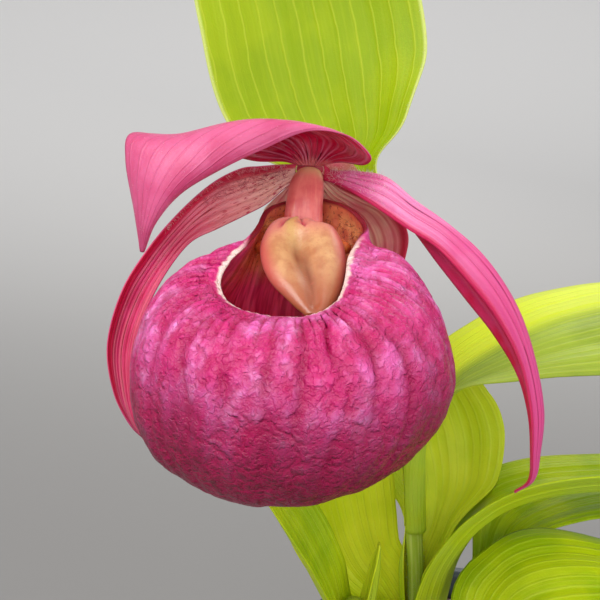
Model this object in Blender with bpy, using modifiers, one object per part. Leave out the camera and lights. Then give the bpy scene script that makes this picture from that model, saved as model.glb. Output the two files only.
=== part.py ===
"""A flowering slipper orchid in a plain nursery pot, drawn in millimetres and scaled to metres.

The pot stands on the origin with +Z up, and the flower looks along -Y. The tepals, lip and column
are drawn from FLOWER, the point where the ovary ends and they all begin.
"""

import math

import bmesh
import bpy
import numpy as np
from mathutils import Vector, noise

MM = 0.001
GAP = 0.3

# The pot and what fills it.
POT_HEIGHT = 91.0
POT_TOP_RADIUS = 50.0
POT_FOOT_RADIUS = 37.0
POT_WALL = 1.8
POT_FLOOR = 2.2
RIM_DROP = 9.0
RIM_LIP = 2.2
DRAIN_HOLES = 6
DRAIN_RADIUS = 4.0
DRAIN_CIRCLE = 25.0
SOIL_TOP = 84.0
SOIL_RELIEF = 1.5

# The leaves and the thin parts of the flower.
LEAF_THICKNESS = 0.6
TEPAL_THICKNESS = 0.7
LIP_THICKNESS = 0.7
PLEAT_DEPTH = 0.3
SHUT = math.radians(200)
OPEN = math.radians(120)
STEM_RADIUS = 2.2
STEM_SIDES = 12

# Where the ovary ends and the flower begins.
FLOWER = Vector((-42.0, -10.0, 224.0))

# The pouch: its centre from FLOWER, its half sizes and how far its foot leans to the left.
POUCH_CENTRE = Vector((-3.3, -29.0, -33.0))
POUCH_HALF_WIDTH = 27.6
POUCH_HALF_DEPTH = 21.0
POUCH_DROP = 21.8
POUCH_LEAN = 0.12
POUCH_SIDES = 32
POUCH_RINGS = 7
MARGIN_RINGS = 5

# Each shoot's stem, from inside the soil to its top, as points on its axis.
STEM_A = ((-12.0, 13.0, 62.0), (-12.2, 13.2, 96.0), (-13.6, 14.2, 124.0), (-16.0, 15.8, 158.0),
          (-20.5, 17.2, 186.0), (-25.6, 18.0, 203.5))
STEM_B = ((-29.0, 1.0, 64.0), (-29.0, 1.0, 84.0), (-29.4, 1.0, 100.0), (-30.6, 0.8, 116.0))
STEM_C = ((0.0, -2.0, 64.0), (0.0, -2.0, 84.0), (0.4, -2.0, 96.0), (1.4, -1.8, 108.0))

# A leaf is a row of stations along its midrib: the midrib point, the way its upper face looks,
# its width measured round the section, and the angle that the section turns through.
LEAF_A1 = (
    ((-6.7, 11.8, 83.0), (-1.0, 0.25, 0.0), 28.0, 290.0),
    ((-6.6, 11.8, 94.0), (-1.0, 0.25, 0.0), 28.0, 280.0),
    ((-5.4, 11.4, 108.0), (-0.9, 0.25, 0.3), 30.0, 150.0),
    ((-2.5, 10.6, 123.0), (-0.85, 0.3, 0.4), 32.0, 105.0),
    ((5.0, 9.5, 135.0), (-0.6, 0.3, 0.75), 34.0, 95.0),
    ((16.0, 8.5, 141.0), (-0.25, 0.3, 0.9), 34.0, 95.0),
    ((33.0, 8.0, 143.5), (-0.05, 0.3, 0.95), 34.0, 85.0),
    ((52.0, 8.0, 143.5), (0.1, 0.2, 0.98), 31.0, 65.0),
    ((71.0, 8.0, 140.5), (0.25, 0.1, 0.97), 20.0, 45.0),
    ((87.0, 8.0, 133.0), (0.4, 0.1, 0.9), 1.6, 20.0),
)
LEAF_A2 = (
    ((-16.2, 14.8, 90.0), (0.92, -0.4, 0.0), 23.0, 290.0),
    ((-17.2, 15.4, 99.0), (0.9, -0.4, 0.1), 23.8, 268.0),
    ((-22.0, 16.8, 107.0), (0.75, -0.6, 0.3), 24.8, 163.0),
    ((-28.6, 18.0, 116.0), (0.4, -0.85, 0.35), 27.0, 90.0),
    ((-32.8, 17.4, 128.0), (0.3, -0.9, 0.3), 31.0, 60.0),
    ((-35.6, 15.6, 141.0), (0.3, -0.9, 0.25), 33.0, 50.0),
    ((-40.0, 13.4, 156.0), (0.35, -0.9, 0.2), 32.0, 45.0),
    ((-46.0, 11.4, 170.0), (0.4, -0.9, 0.15), 19.0, 45.0),
    ((-50.0, 8.4, 181.0), (0.4, -0.9, 0.1), 1.6, 20.0),
)
LEAF_A3 = (
    ((-11.3, 17.0, 100.0), (-0.3, -0.95, 0.0), 18.5, 290.0),
    ((-12.1, 17.8, 116.0), (-0.3, -0.95, 0.0), 19.4, 278.0),
    ((-8.0, 20.0, 126.0), (-0.5, -0.8, 0.3), 17.0, 130.0),
    ((-6.0, 26.4, 135.0), (-0.2, -0.9, 0.4), 33.0, 65.0),
    ((-7.4, 31.0, 145.0), (-0.1, -0.95, 0.25), 41.0, 48.0),
    ((-10.2, 33.4, 155.0), (-0.1, -0.98, 0.15), 38.0, 40.0),
    ((-12.6, 34.4, 165.0), (-0.1, -0.98, 0.05), 26.0, 35.0),
    ((-13.6, 34.0, 176.0), (-0.1, -0.98, 0.0), 1.6, 20.0),
)
LEAF_A4 = (
    ((-10.9, 14.4, 128.0), (-1.0, 0.0, 0.0), 14.5, 290.0),
    ((-11.6, 15.0, 142.0), (-1.0, 0.0, 0.05), 15.0, 280.0),
    ((-11.4, 15.8, 154.0), (-0.95, 0.0, 0.25), 18.0, 170.0),
    ((-6.5, 18.0, 166.0), (-0.8, -0.1, 0.55), 26.0, 90.0),
    ((5.0, 20.0, 174.5), (-0.45, -0.2, 0.87), 32.0, 25.0),
    ((24.0, 21.0, 183.0), (-0.2, -0.2, 0.95), 44.0, -20.0),
    ((50.0, 20.0, 187.4), (0.02, -0.17, 0.97), 47.0, -32.0),
    ((78.0, 16.0, 182.0), (0.3, -0.15, 0.95), 33.0, -25.0),
    ((101.0, 11.0, 169.0), (0.55, -0.1, 0.83), 1.6, -10.0),
)
LEAF_B1 = (
    ((-32.4, 1.0, 82.0), (1.0, 0.0, 0.0), 17.0, 290.0),
    ((-33.3, 1.0, 96.0), (1.0, 0.0, 0.0), 18.6, 270.0),
    ((-34.0, -1.6, 110.0), (0.9, 0.1, 0.3), 18.0, 150.0),
    ((-38.0, -5.0, 124.0), (0.85, -0.2, 0.4), 19.5, 110.0),
    ((-44.5, -7.6, 140.0), (0.8, -0.2, 0.5), 21.0, 90.0),
    ((-52.0, -8.4, 154.0), (0.75, -0.2, 0.5), 15.0, 70.0),
    ((-58.5, -8.0, 164.0), (0.75, -0.2, 0.4), 1.6, 20.0),
)
LEAF_B2 = (
    ((-26.6, 1.0, 96.0), (-1.0, 0.0, 0.0), 13.2, 280.0),
    ((-26.7, 0.8, 104.0), (-1.0, 0.0, 0.1), 10.8, 185.0),
    ((-26.0, 0.4, 112.0), (-1.0, 0.0, 0.1), 10.5, 165.0),
    ((-25.2, 0.0, 120.0), (-1.0, 0.0, 0.1), 8.5, 140.0),
    ((-24.8, -0.3, 127.0), (-1.0, 0.0, 0.1), 6.0, 110.0),
    ((-24.6, -0.4, 133.0), (-1.0, 0.0, 0.1), 1.6, 20.0),
)
LEAF_C1 = (
    ((3.6, -3.0, 80.0), (-1.0, 0.3, 0.0), 17.5, 290.0),
    ((4.0, -3.0, 90.0), (-1.0, 0.3, 0.05), 18.0, 260.0),
    ((6.6, -6.8, 101.0), (-0.88, 0.3, 0.35), 19.0, 145.0),
    ((6.2, -15.0, 114.0), (-0.6, -0.25, 0.7), 25.0, 40.0),
    ((4.6, -15.8, 126.0), (-0.4, -0.3, 0.9), 38.0, -20.0),
    ((16.0, -16.8, 132.5), (-0.05, -0.25, 1.0), 44.0, -38.0),
    ((38.0, -18.4, 131.5), (0.25, -0.15, 0.97), 36.0, -35.0),
    ((56.0, -19.4, 124.0), (0.4, -0.1, 0.9), 21.0, -25.0),
    ((69.0, -19.6, 115.0), (0.6, -0.05, 0.8), 1.6, -10.0),
)
LEAF_C2 = (
    ((0.4, 0.75, 95.0), (0.0, -1.0, 0.0), 13.6, 280.0),
    ((0.9, 1.35, 107.0), (0.0, -1.0, 0.0), 14.0, 250.0),
    ((6.2, 8.6, 119.0), (-0.5, -0.7, 0.3), 11.6, 125.0),
    ((12.0, 15.2, 129.0), (-0.5, -0.35, 0.8), 19.0, 62.0),
    ((26.0, 20.4, 134.0), (-0.25, -0.15, 0.93), 25.0, 30.0),
    ((42.0, 23.0, 135.5), (0.0, -0.1, 1.0), 27.0, 15.0),
    ((58.0, 24.0, 132.5), (0.25, -0.1, 0.95), 20.0, 10.0),
    ((71.0, 24.0, 125.0), (0.45, -0.1, 0.85), 1.6, 5.0),
)
BRACT = (
    ((-22.6, 20.3, 199.0), (-0.55, -0.8, 0.3), 12.2, 230.0),
    ((-25.0, 22.4, 208.0), (-0.55, -0.8, 0.2), 14.0, 160.0),
    ((-31.6, 24.8, 219.5), (-0.35, -0.92, 0.2), 18.0, 110.0),
    ((-34.6, 26.2, 228.5), (-0.2, -0.95, 0.2), 38.5, 85.0),
    ((-38.2, 27.8, 240.0), (-0.1, -0.98, 0.15), 51.5, 64.0),
    ((-41.8, 29.5, 257.0), (0.0, -1.0, 0.05), 53.0, 50.0),
    ((-46.2, 29.5, 275.0), (0.0, -1.0, -0.05), 48.0, 42.0),
    ((-49.6, 27.0, 292.0), (0.0, -1.0, -0.2), 29.0, 38.0),
    ((-51.5, 23.5, 306.0), (0.0, -0.95, -0.3), 1.6, 20.0),
)

# A tepal is a row of stations from FLOWER to its tip: one margin, the middle and the other margin.
DORSAL_SEPAL = (
    ((2.6, 0.1, 0.8), (0.0, 0.1, 0.8), (-2.4, 0.1, 0.8)),
    ((6.2, -0.8, 1.6), (0.3, 0.3, 3.6), (-5.4, 0.4, 1.6)),
    ((10.4, -5.0, 1.4), (-0.4, -0.6, 6.6), (-10.4, 1.8, 1.5)),
    ((11.2, -9.0, 3.4), (-3.4, -5.5, 8.3), (-14.6, 2.0, 2.4)),
    ((6.8, -12.5, 7.2), (-8.0, -10.5, 9.3), (-18.4, 0.6, 3.4)),
    ((-0.5, -15.5, 8.2), (-13.0, -15.0, 9.8), (-22.0, -3.5, 5.0)),
    ((-8.5, -18.0, 5.2), (-18.0, -18.5, 8.0), (-25.8, -8.5, 6.4)),
    ((-16.0, -20.0, 1.8), (-22.5, -21.0, 4.6), (-32.4, -13.0, 7.7)),
    ((-22.8, -20.5, -2.2), (-26.2, -22.0, -0.6), (-33.0, -16.2, 3.2)),
    ((-27.5, -20.0, -7.4), (-28.8, -21.0, -7.0), (-31.6, -18.0, -5.6)),
    ((-30.2, -18.4, -12.8), (-30.5, -18.5, -12.9), (-30.8, -18.4, -12.8)),
)
PETAL_LEFT = (
    ((-2.7, -0.8, 1.2), (-2.9, -0.8, -0.4), (-2.7, -0.8, -2.0)),
    ((-6.0, -1.6, 1.1), (-5.6, 0.0, -1.2), (-5.4, -0.8, -3.8)),
    ((-9.8, -2.8, 0.9), (-9.6, 0.8, -2.8), (-8.8, -1.4, -6.6)),
    ((-13.6, -5.0, 0.6), (-14.0, -0.4, -4.0), (-13.4, -3.4, -8.8)),
    ((-18.8, -8.0, -1.9), (-18.8, -4.2, -5.6), (-18.2, -6.5, -10.8)),
    ((-24.6, -11.0, -6.8), (-24.0, -8.2, -9.6), (-23.2, -10.0, -13.0)),
    ((-30.4, -13.0, -13.3), (-29.5, -10.8, -16.0), (-28.0, -12.0, -19.0)),
    ((-35.8, -14.0, -21.6), (-34.4, -12.0, -24.0), (-31.8, -13.0, -26.2)),
    ((-39.2, -14.0, -32.2), (-37.4, -12.5, -33.4), (-34.2, -13.5, -33.8)),
    ((-38.6, -14.0, -42.0), (-37.2, -13.0, -42.6), (-34.8, -13.5, -42.5)),
    ((-36.0, -13.2, -49.0), (-35.4, -12.8, -49.4), (-34.2, -13.0, -49.4)),
    ((-32.8, -12.0, -53.4), (-32.5, -12.0, -53.6), (-32.2, -12.0, -53.4)),
)
PETAL_RIGHT = (
    ((2.7, -0.8, -2.0), (2.9, -0.8, -0.4), (2.7, -0.8, 1.2)),
    ((6.0, -3.4, -2.8), (5.6, -1.6, -0.3), (5.6, -0.2, -1.8)),
    ((9.6, -7.0, -4.6), (10.0, -4.2, -0.4), (9.0, -0.8, -2.8)),
    ((13.4, -10.6, -6.8), (14.6, -7.2, -1.2), (14.0, -3.0, -5.6)),
    ((18.0, -14.4, -9.6), (19.6, -11.0, -5.0), (19.4, -7.2, -10.4)),
    ((22.8, -17.6, -12.4), (25.6, -15.0, -9.2), (24.4, -11.0, -16.8)),
    ((28.4, -20.6, -18.2), (31.6, -18.0, -14.6), (29.4, -14.0, -23.0)),
    ((33.6, -22.4, -24.8), (36.8, -20.4, -22.4), (34.6, -16.2, -29.4)),
    ((38.0, -23.0, -33.0), (40.6, -21.4, -31.8), (39.0, -18.2, -36.6)),
    ((40.6, -23.0, -42.6), (43.2, -21.8, -42.2), (41.4, -19.2, -44.4)),
    ((41.6, -22.6, -51.0), (43.4, -21.6, -50.8), (42.2, -20.0, -52.0)),
    ((42.0, -21.4, -57.0), (43.0, -21.0, -57.0), (42.2, -20.2, -57.4)),
    ((40.0, -19.2, -60.7), (40.2, -19.0, -60.9), (40.4, -18.8, -60.7)),
)
SYNSEPAL = (
    ((2.6, 0.1, -0.9), (0.0, 0.1, -1.2), (-2.4, 0.1, -0.9)),
    ((6.4, 0.8, -3.4), (0.8, 0.3, -4.4), (-5.0, 0.8, -3.8)),
    ((11.4, 1.4, -5.4), (3.0, 5.2, -8.0), (-7.8, 2.6, -6.6)),
    ((17.0, 0.4, -8.2), (5.6, 9.2, -11.4), (-9.6, 4.4, -9.2)),
    ((19.8, -1.6, -12.8), (7.8, 10.0, -16.6), (-8.8, 5.8, -13.6)),
    ((19.0, -2.2, -19.0), (9.0, 9.2, -23.4), (-6.0, 6.0, -20.0)),
    ((17.2, -1.4, -27.6), (9.2, 7.2, -31.0), (-2.2, 5.0, -28.0)),
    ((14.2, 0.4, -37.6), (8.6, 5.0, -39.6), (2.0, 4.0, -38.0)),
    ((9.4, 2.0, -47.6), (8.4, 2.2, -48.0), (7.4, 2.0, -47.6)),
)

# The pouch's upper part, taken round from the front by the left: the compass angle of the wall,
# the crest of its shoulder, the way the wall runs there, its edge, and the way it runs at the edge.
# Crest and edge are measured from POUCH_CENTRE.
POUCH_MOUTH = (
    (270.0, (0.5, -12.6, 13.4), (0.0, 1.0, 0.1), (0.7, -9.0, 12.8), (0.0, 0.7, -0.7)),
    (244.0, (-8.2, -11.0, 13.8), (0.5, 0.85, 0.1), (-5.6, -7.8, 13.0), (0.4, 0.6, -0.7)),
    (220.0, (-13.6, -6.6, 15.2), (0.85, 0.5, 0.1), (-10.2, -4.6, 14.0), (0.7, 0.3, -0.7)),
    (196.0, (-15.8, -1.2, 17.4), (1.0, 0.15, 0.0), (-12.2, -0.6, 16.4), (0.7, 0.0, -0.7)),
    (174.0, (-14.2, 3.6, 19.8), (0.95, 0.0, 0.1), (-11.0, 3.4, 19.4), (0.6, 0.0, -0.7)),
    (154.0, (-10.8, 8.6, 21.4), (0.8, 0.1, 0.3), (-8.2, 8.0, 21.6), (0.6, 0.0, -0.4)),
    (132.0, (-8.0, 14.6, 20.0), (0.45, 0.2, 0.9), (-6.2, 15.4, 24.0), (0.4, 0.2, 0.8)),
    (112.0, (-5.4, 20.8, 21.0), (0.2, 0.3, 0.9), (-4.2, 22.0, 26.6), (0.2, 0.2, 0.9)),
    (90.0, (2.0, 24.6, 18.0), (0.05, 0.35, 0.95), (2.8, 27.9, 27.6), (0.0, 0.3, 0.95)),
    (68.0, (10.4, 21.6, 20.0), (-0.1, 0.3, 0.95), (9.6, 22.6, 27.0), (-0.2, 0.2, 0.9)),
    (48.0, (14.2, 15.6, 18.6), (-0.35, 0.2, 0.9), (13.2, 16.4, 24.2), (-0.4, 0.1, 0.8)),
    (26.0, (15.2, 9.2, 20.8), (-0.9, 0.0, 0.2), (11.6, 10.4, 21.6), (-0.7, 0.1, -0.5)),
    (4.0, (13.8, 2.8, 19.8), (-1.0, 0.1, 0.0), (9.8, 4.6, 19.8), (-0.7, 0.1, -0.7)),
    (-20.0, (12.2, -3.2, 17.6), (-0.95, 0.3, 0.0), (9.0, -0.6, 17.2), (-0.7, 0.2, -0.7)),
    (-44.0, (10.0, -8.8, 15.8), (-0.7, 0.7, 0.0), (7.6, -4.8, 14.8), (-0.6, 0.4, -0.7)),
    (-67.0, (5.8, -11.8, 14.0), (-0.3, 0.95, 0.1), (4.6, -7.8, 13.4), (-0.3, 0.7, -0.7)),
)

# A fleshy body is a row of stations along it: its centre, half width and half thickness.
OVARY = (
    ((16.2, 28.0, -19.6), 2.3, 2.3), ((14.2, 26.6, -13.6), 2.7, 2.7), ((10.4, 22.6, -6.0), 3.0, 3.0),
    ((5.8, 15.8, -0.6), 3.0, 3.0), ((2.2, 9.0, 0.9), 2.7, 2.7), ((0.5, 4.4, 0.6), 2.4, 2.4),
    ((0.0, 2.2, 0.1), 2.6, 2.6), ((0.0, 1.4, 0.0), 2.5, 2.5),
)
COLUMN = (
    ((-0.1, -0.6, -0.6), 1.9, 1.2), ((-0.2, -1.8, -1.0), 2.7, 1.9), ((-0.7, -4.2, -2.8), 3.4, 2.3),
    ((-1.2, -7.0, -6.2), 3.6, 2.3), ((-1.4, -9.0, -10.0), 3.7, 1.9), ((-1.5, -10.8, -13.6), 3.4, 1.8),
    ((-1.5, -12.0, -16.0), 1.6, 1.3),
)
STAMINODE = (
    ((-2.0, -11.8, -8.0), 2.4, 0.8), ((-2.2, -12.8, -9.2), 5.6, 1.7), ((-1.9, -15.0, -11.2), 7.2, 2.5),
    ((-1.5, -18.5, -13.4), 7.7, 2.6), ((-0.7, -22.5, -15.9), 7.1, 2.4), ((0.1, -26.0, -18.2), 5.4, 2.0),
    ((0.5, -28.8, -20.2), 3.4, 1.4), ((0.6, -30.6, -21.5), 1.6, 0.8),
)
STIGMA = (
    ((-1.5, -13.0, -17.6), 1.6, 1.0), ((-1.4, -14.8, -19.2), 3.0, 1.9), ((-1.2, -17.4, -20.8), 3.1, 2.0),
    ((-1.0, -19.6, -22.0), 1.6, 1.0),
)
ANTHER_RIGHT = (
    ((2.6, -10.9, -12.4), 0.7, 0.8), ((4.0, -12.0, -13.2), 1.3, 1.2), ((5.4, -13.2, -13.2), 1.7, 1.6),
    ((6.9, -14.6, -13.2), 1.0, 0.9),
)
COLUMN_MIDDLE = -1.45
COLUMN_FACING = (0.0, -0.53, 0.85)
STAMINODE_GROOVE = 0.5
STAMINODE_GROOVE_WIDTH = 1.6
OVARY_RIB = 0.06

COLOURS = {
    "pot": ((0.06, 0.07, 0.08), 0.5),
    "soil": ((0.16, 0.09, 0.06), 0.95),
    "stem": ((0.30, 0.48, 0.05), 0.55),
    "leaf": ((0.24, 0.42, 0.02), 0.5),
    "bract": ((0.42, 0.56, 0.01), 0.5),
    "tepal": ((0.66, 0.07, 0.18), 0.55),
    "lip": ((0.66, 0.05, 0.26), 0.5),
    "column": ((0.68, 0.24, 0.22), 0.4),
    "staminode": ((0.85, 0.50, 0.36), 0.25),
    "anther": ((0.72, 0.26, 0.05), 0.6),
    "stigma": ((0.80, 0.62, 0.38), 0.4),
}


def clear_scene():
    """Removes every object that the file opened with."""
    for obj in list(bpy.data.objects):
        bpy.data.objects.remove(obj, do_unlink=True)


def collection(name):
    """A new collection in the scene."""
    made = bpy.data.collections.new(name)
    bpy.context.scene.collection.children.link(made)
    return made


def material(name):
    """The Principled material of that name, made once."""
    found = bpy.data.materials.get(name)
    if found:
        return found
    made = bpy.data.materials.new(name)
    made.use_nodes = True
    shader = made.node_tree.nodes["Principled BSDF"]
    colour, roughness = COLOURS[name]
    shader.inputs["Base Color"].default_value = (*colour, 1.0)
    shader.inputs["Roughness"].default_value = roughness
    shader.inputs["Metallic"].default_value = 0.0
    made.diffuse_color = (*colour, 1.0)
    return made


def place(name, mesh, finish, group):
    """An object with this mesh and finish, in this collection."""
    obj = bpy.data.objects.new(name, mesh)
    mesh.materials.append(material(finish))
    group.objects.link(obj)
    return obj


def flow(stations, places, closed=False):
    """Reads a smooth curve through rows of numbers, at places from 0 to 1 along it."""
    rows = np.asarray(stations, dtype=float)
    if closed:
        rows = np.concatenate([rows[-1:], rows, rows[:2]])
    else:
        rows = np.concatenate([2 * rows[:1] - rows[1:2], rows, 2 * rows[-1:] - rows[-2:-1]])
    spans = len(rows) - 3
    along = np.clip(np.asarray(places) * spans, 0, spans - 1e-9)
    first = along.astype(int)
    part = (along - first)[:, None]
    a, b, c, d = rows[first], rows[first + 1], rows[first + 2], rows[first + 3]
    bend = 2 * a - 5 * b + 4 * c - d
    return 0.5 * (2 * b + (c - a) * part + bend * part**2 + (3 * b - a - 3 * c + d) * part**3)


def unit(vectors):
    """The same directions, one long."""
    return vectors / np.linalg.norm(vectors, axis=-1, keepdims=True)


def smoothstep(low, high, value):
    """Rises gently from 0 at low to 1 at high."""
    share = np.clip((value - low) / (high - low), 0.0, 1.0)
    return share * share * (3 - 2 * share)


def leaf_surface(stations, rows, columns, pleat):
    """A pleated blade that wraps its stem below and opens above, as rows of points."""
    table = [(*mid, *facing, width, math.radians(turn)) for mid, facing, width, turn in stations]
    places = np.linspace(0, 1, rows)
    read = flow(table, places)
    mid = read[:, 0:3]
    along = unit(np.gradient(mid, axis=0))
    across = unit(np.cross(along, read[:, 3:6]))
    facing = np.cross(across, along)
    width = read[:, 6]
    turn = np.where(np.abs(read[:, 7]) < 0.02, 0.02, read[:, 7])
    angle = np.outer(turn / 2, np.linspace(-1, 1, columns))
    radius = (width / turn)[:, None]
    fold = pleat * (smoothstep(SHUT, OPEN, turn) * smoothstep(1.0, 0.8, places))[:, None]
    fold = fold * np.where(np.arange(columns) % 2, 1.0, -1.0)
    side = radius * np.sin(angle) - fold * np.sin(angle)
    lift = radius * (1 - np.cos(angle)) + fold * np.cos(angle)
    return mid[:, None] + side[..., None] * across[:, None] + lift[..., None] * facing[:, None]


def tepal_surface(stations, rows, columns):
    """A sheet through two margins and a middle line, as rows of points from FLOWER."""
    table = [(*one, *middle, *other) for one, middle, other in stations]
    read = flow(table, np.linspace(0, 1, rows)).reshape(rows, 3, 3)
    v = np.linspace(-1, 1, columns)
    weights = np.stack([v * (v - 1) / 2, 1 - v * v, v * (v + 1) / 2])
    return np.einsum("rkx,kc->rcx", read, weights) + np.array(FLOWER)


def bezier(start, start_pull, end_pull, end, share):
    """Points of a cubic curve between two rows of points."""
    rest = 1 - share
    return (rest**3 * start + 3 * rest**2 * share * start_pull
            + 3 * rest * share**2 * end_pull + share**3 * end)


def pouch_surface(sides, rings, margin_rings):
    """The slipper from its foot up over the shoulder to its edge, as rings of points."""
    read = np.array([(angle, *crest, *crest_way, *edge, *edge_way)
                     for angle, crest, crest_way, edge, edge_way in POUCH_MOUTH])
    # The angle falls by a full turn round the loop, so it is read as a steady turn and what is left.
    read[:, 0] += 360.0 * np.arange(len(read)) / len(read)
    places = np.arange(sides) / sides
    read = flow(read, places, closed=True)
    angle = np.radians(read[:, 0] - 360.0 * places)
    crest, crest_way, edge, edge_way = read[:, 1:4], unit(read[:, 4:7]), read[:, 7:10], unit(read[:, 10:13])
    waist = np.stack([POUCH_HALF_WIDTH * np.cos(angle), POUCH_HALF_DEPTH * np.sin(angle), 0 * angle], axis=1)
    result = []
    for slope in np.linspace(math.radians(-82), 0, rings):
        low = np.array([math.cos(slope), math.cos(slope), 1.0])
        result.append(waist * low + np.array([0, 0, POUCH_DROP * math.sin(slope)]))
    rise = np.array([0, 0, 1.0])
    reach = np.linalg.norm(crest - waist, axis=1, keepdims=True)
    for share in np.linspace(0, 1, rings)[1:]:
        pull = crest_way * reach * 0.36
        result.append(bezier(waist, waist + rise * reach * 0.36, crest - pull, crest, share))
    reach = np.linalg.norm(edge - crest, axis=1, keepdims=True)
    for share in np.linspace(0, 1, margin_rings)[1:]:
        pull = edge_way * reach * 0.3
        result.append(bezier(crest, crest + crest_way * reach * 0.36, edge - pull, edge, share))
    surface = np.array(result)
    surface[..., 0] += POUCH_LEAN * np.minimum(surface[..., 2], 0.0)
    return surface + np.array(POUCH_CENTRE + FLOWER)


def body_rings(stations, facing, rows, sides, section, origin):
    """Rings round a fleshy body; section shapes each ring from its place and its angles."""
    table = [(*centre, wide, thick) for centre, wide, thick in stations]
    places = np.linspace(0, 1, rows)
    read = flow(table, places)
    centre = read[:, 0:3]
    along = unit(np.gradient(centre, axis=0))
    across = unit(np.cross(along, np.broadcast_to(facing, centre.shape)))
    up = np.cross(across, along)
    angles = 2 * math.pi * np.arange(sides) / sides
    side, lift = section(places[:, None], angles[None, :])
    side = side * read[:, 3:4]
    lift = lift * read[:, 4:5]
    centre = centre[:, None] + np.array(origin)
    return centre + side[..., None] * across[:, None] + lift[..., None] * up[:, None]


def round_section(places, angles):
    """A plain ellipse."""
    return np.cos(angles) + 0 * places, np.sin(angles) + 0 * places


def ribbed_section(places, angles):
    """An ellipse with six low ribs."""
    radius = 1 + OVARY_RIB * np.cos(6 * angles) * smoothstep(0.0, 0.15, places)
    return radius * np.cos(angles), radius * np.sin(angles)


def lobed_section(places, angles):
    """Two full lobes with a groove between them on the upper side."""
    side = np.sign(np.cos(angles)) * np.abs(np.cos(angles)) ** 0.85
    groove = STAMINODE_GROOVE * np.exp(-((side * 7.0 / STAMINODE_GROOVE_WIDTH) ** 2))
    groove = groove * smoothstep(1.0, 0.75, places)
    lift = np.where(np.sin(angles) > 0, np.sin(angles) * (1 - groove), 0.7 * np.sin(angles))
    return side + 0 * places, lift + 0 * places


def grid_mesh(name, grid, wraps=False, pole=False):
    """A mesh of quads over rows of points; wraps joins each row's ends, and pole closes the first row."""
    rows, columns = grid.shape[:2]
    points = [Vector(p) * MM for p in grid.reshape(-1, 3)]
    faces = []
    for row in range(rows - 1):
        for column in range(columns if wraps else columns - 1):
            here = row * columns + column
            beside = row * columns + (column + 1) % columns
            faces.append((here, beside, beside + columns, here + columns))
    if pole:
        points.append(Vector(grid[0].mean(axis=0)) * MM)
        last = len(points) - 1
        faces += [((column + 1) % columns, column, last) for column in range(columns)]
    mesh = bpy.data.meshes.new(name)
    mesh.from_pydata(points, [], faces)
    mesh.shade_smooth()
    return mesh


def thicken(obj, thickness):
    """Gives an open sheet its thickness, half to each side; both faces are split alike first."""
    split = obj.modifiers.new("Triangulate", "TRIANGULATE")
    split.quad_method = "FIXED"
    shell = obj.modifiers.new("Solidify", "SOLIDIFY")
    shell.thickness = thickness * MM
    shell.offset = 0.0
    return obj


def sheet(name, grid, finish, group, thickness, wraps=False, pole=False):
    """A thin part of the plant."""
    return thicken(place(name, grid_mesh(name, grid, wraps, pole), finish, group), thickness)


def leaf(name, stations, finish, group, rows=13, columns=9):
    """A leaf with its sheath."""
    grid = leaf_surface(stations, rows, columns, PLEAT_DEPTH)
    return sheet(name, grid, finish, group, LEAF_THICKNESS)


def tepal(name, stations, group, rows=22, columns=7):
    """A petal or a sepal."""
    return sheet(name, tepal_surface(stations, rows, columns), "tepal", group, TEPAL_THICKNESS)


def fleshy(name, stations, finish, group, section=round_section, rows=10, sides=12):
    """A solid body with rounded ends."""
    grid = body_rings(stations, COLUMN_FACING, rows, sides, section, FLOWER)
    mesh = grid_mesh(name, grid, wraps=True)
    shape = bmesh.new()
    shape.from_mesh(mesh)
    for row in (0, rows - 1):
        middle = shape.verts.new(Vector(grid[row].mean(axis=0)) * MM)
        shape.verts.ensure_lookup_table()
        loop = [shape.verts[row * sides + step] for step in range(sides)]
        for step in range(sides):
            shape.faces.new((loop[step], loop[(step + 1) % sides], middle))
    bmesh.ops.recalc_face_normals(shape, faces=shape.faces)
    shape.to_mesh(mesh)
    shape.free()
    return place(name, mesh, finish, group)


def mirrored(stations, middle):
    """The same stations on the other side of a plane across X."""
    return tuple(((2 * middle - x, y, z), wide, thick) for (x, y, z), wide, thick in stations)


def stem(name, points, radius, group):
    """A round stem along a smooth curve through its points."""
    curve = bpy.data.curves.new(name, "CURVE")
    curve.dimensions = "3D"
    curve.bevel_depth = radius * MM
    curve.bevel_resolution = STEM_SIDES // 4 - 1
    curve.use_fill_caps = True
    spline = curve.splines.new("POLY")
    read = flow(points, np.linspace(0, 1, 3 * len(points)))
    spline.points.add(len(read) - 1)
    for point, at in zip(spline.points, read):
        point.co = (*(at * MM), 1.0)
    curve.materials.append(material("stem"))
    obj = bpy.data.objects.new(name, curve)
    group.objects.link(obj)
    return obj


def turned(name, profile, finish, group, steps):
    """A turned solid from its profile of (radius, height)."""
    mesh = bpy.data.meshes.new(name)
    points = [(radius * MM, 0.0, height * MM) for radius, height in profile]
    mesh.from_pydata(points, [(k, k + 1) for k in range(len(points) - 1)], [])
    obj = place(name, mesh, finish, group)
    screw = obj.modifiers.new("Screw", "SCREW")
    screw.steps = steps
    screw.render_steps = steps
    screw.use_merge_vertices = True
    screw.merge_threshold = 0.0001
    return obj


def cutter(name, place_at, radius, low, high, group):
    """An upright cylinder that only cuts."""
    bpy.ops.mesh.primitive_cylinder_add(
        vertices=20, radius=radius * MM, depth=(high - low) * MM,
        location=(place_at[0] * MM, place_at[1] * MM, (low + high) / 2 * MM))
    obj = bpy.context.object
    obj.name = name
    for old in list(obj.users_collection):
        old.objects.unlink(obj)
    group.objects.link(obj)
    obj.hide_render = True
    obj.display_type = "WIRE"
    return obj


def cut(obj, tool):
    """Takes the tool's shape out of the object."""
    boolean = obj.modifiers.new("Cut", "BOOLEAN")
    boolean.operation = "DIFFERENCE"
    boolean.solver = "EXACT"
    boolean.object = tool


def inner_radius(height):
    """The inside radius of the pot at a height."""
    slope = (POT_TOP_RADIUS - POT_FOOT_RADIUS) / POT_HEIGHT
    return POT_FOOT_RADIUS + slope * height - POT_WALL


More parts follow.
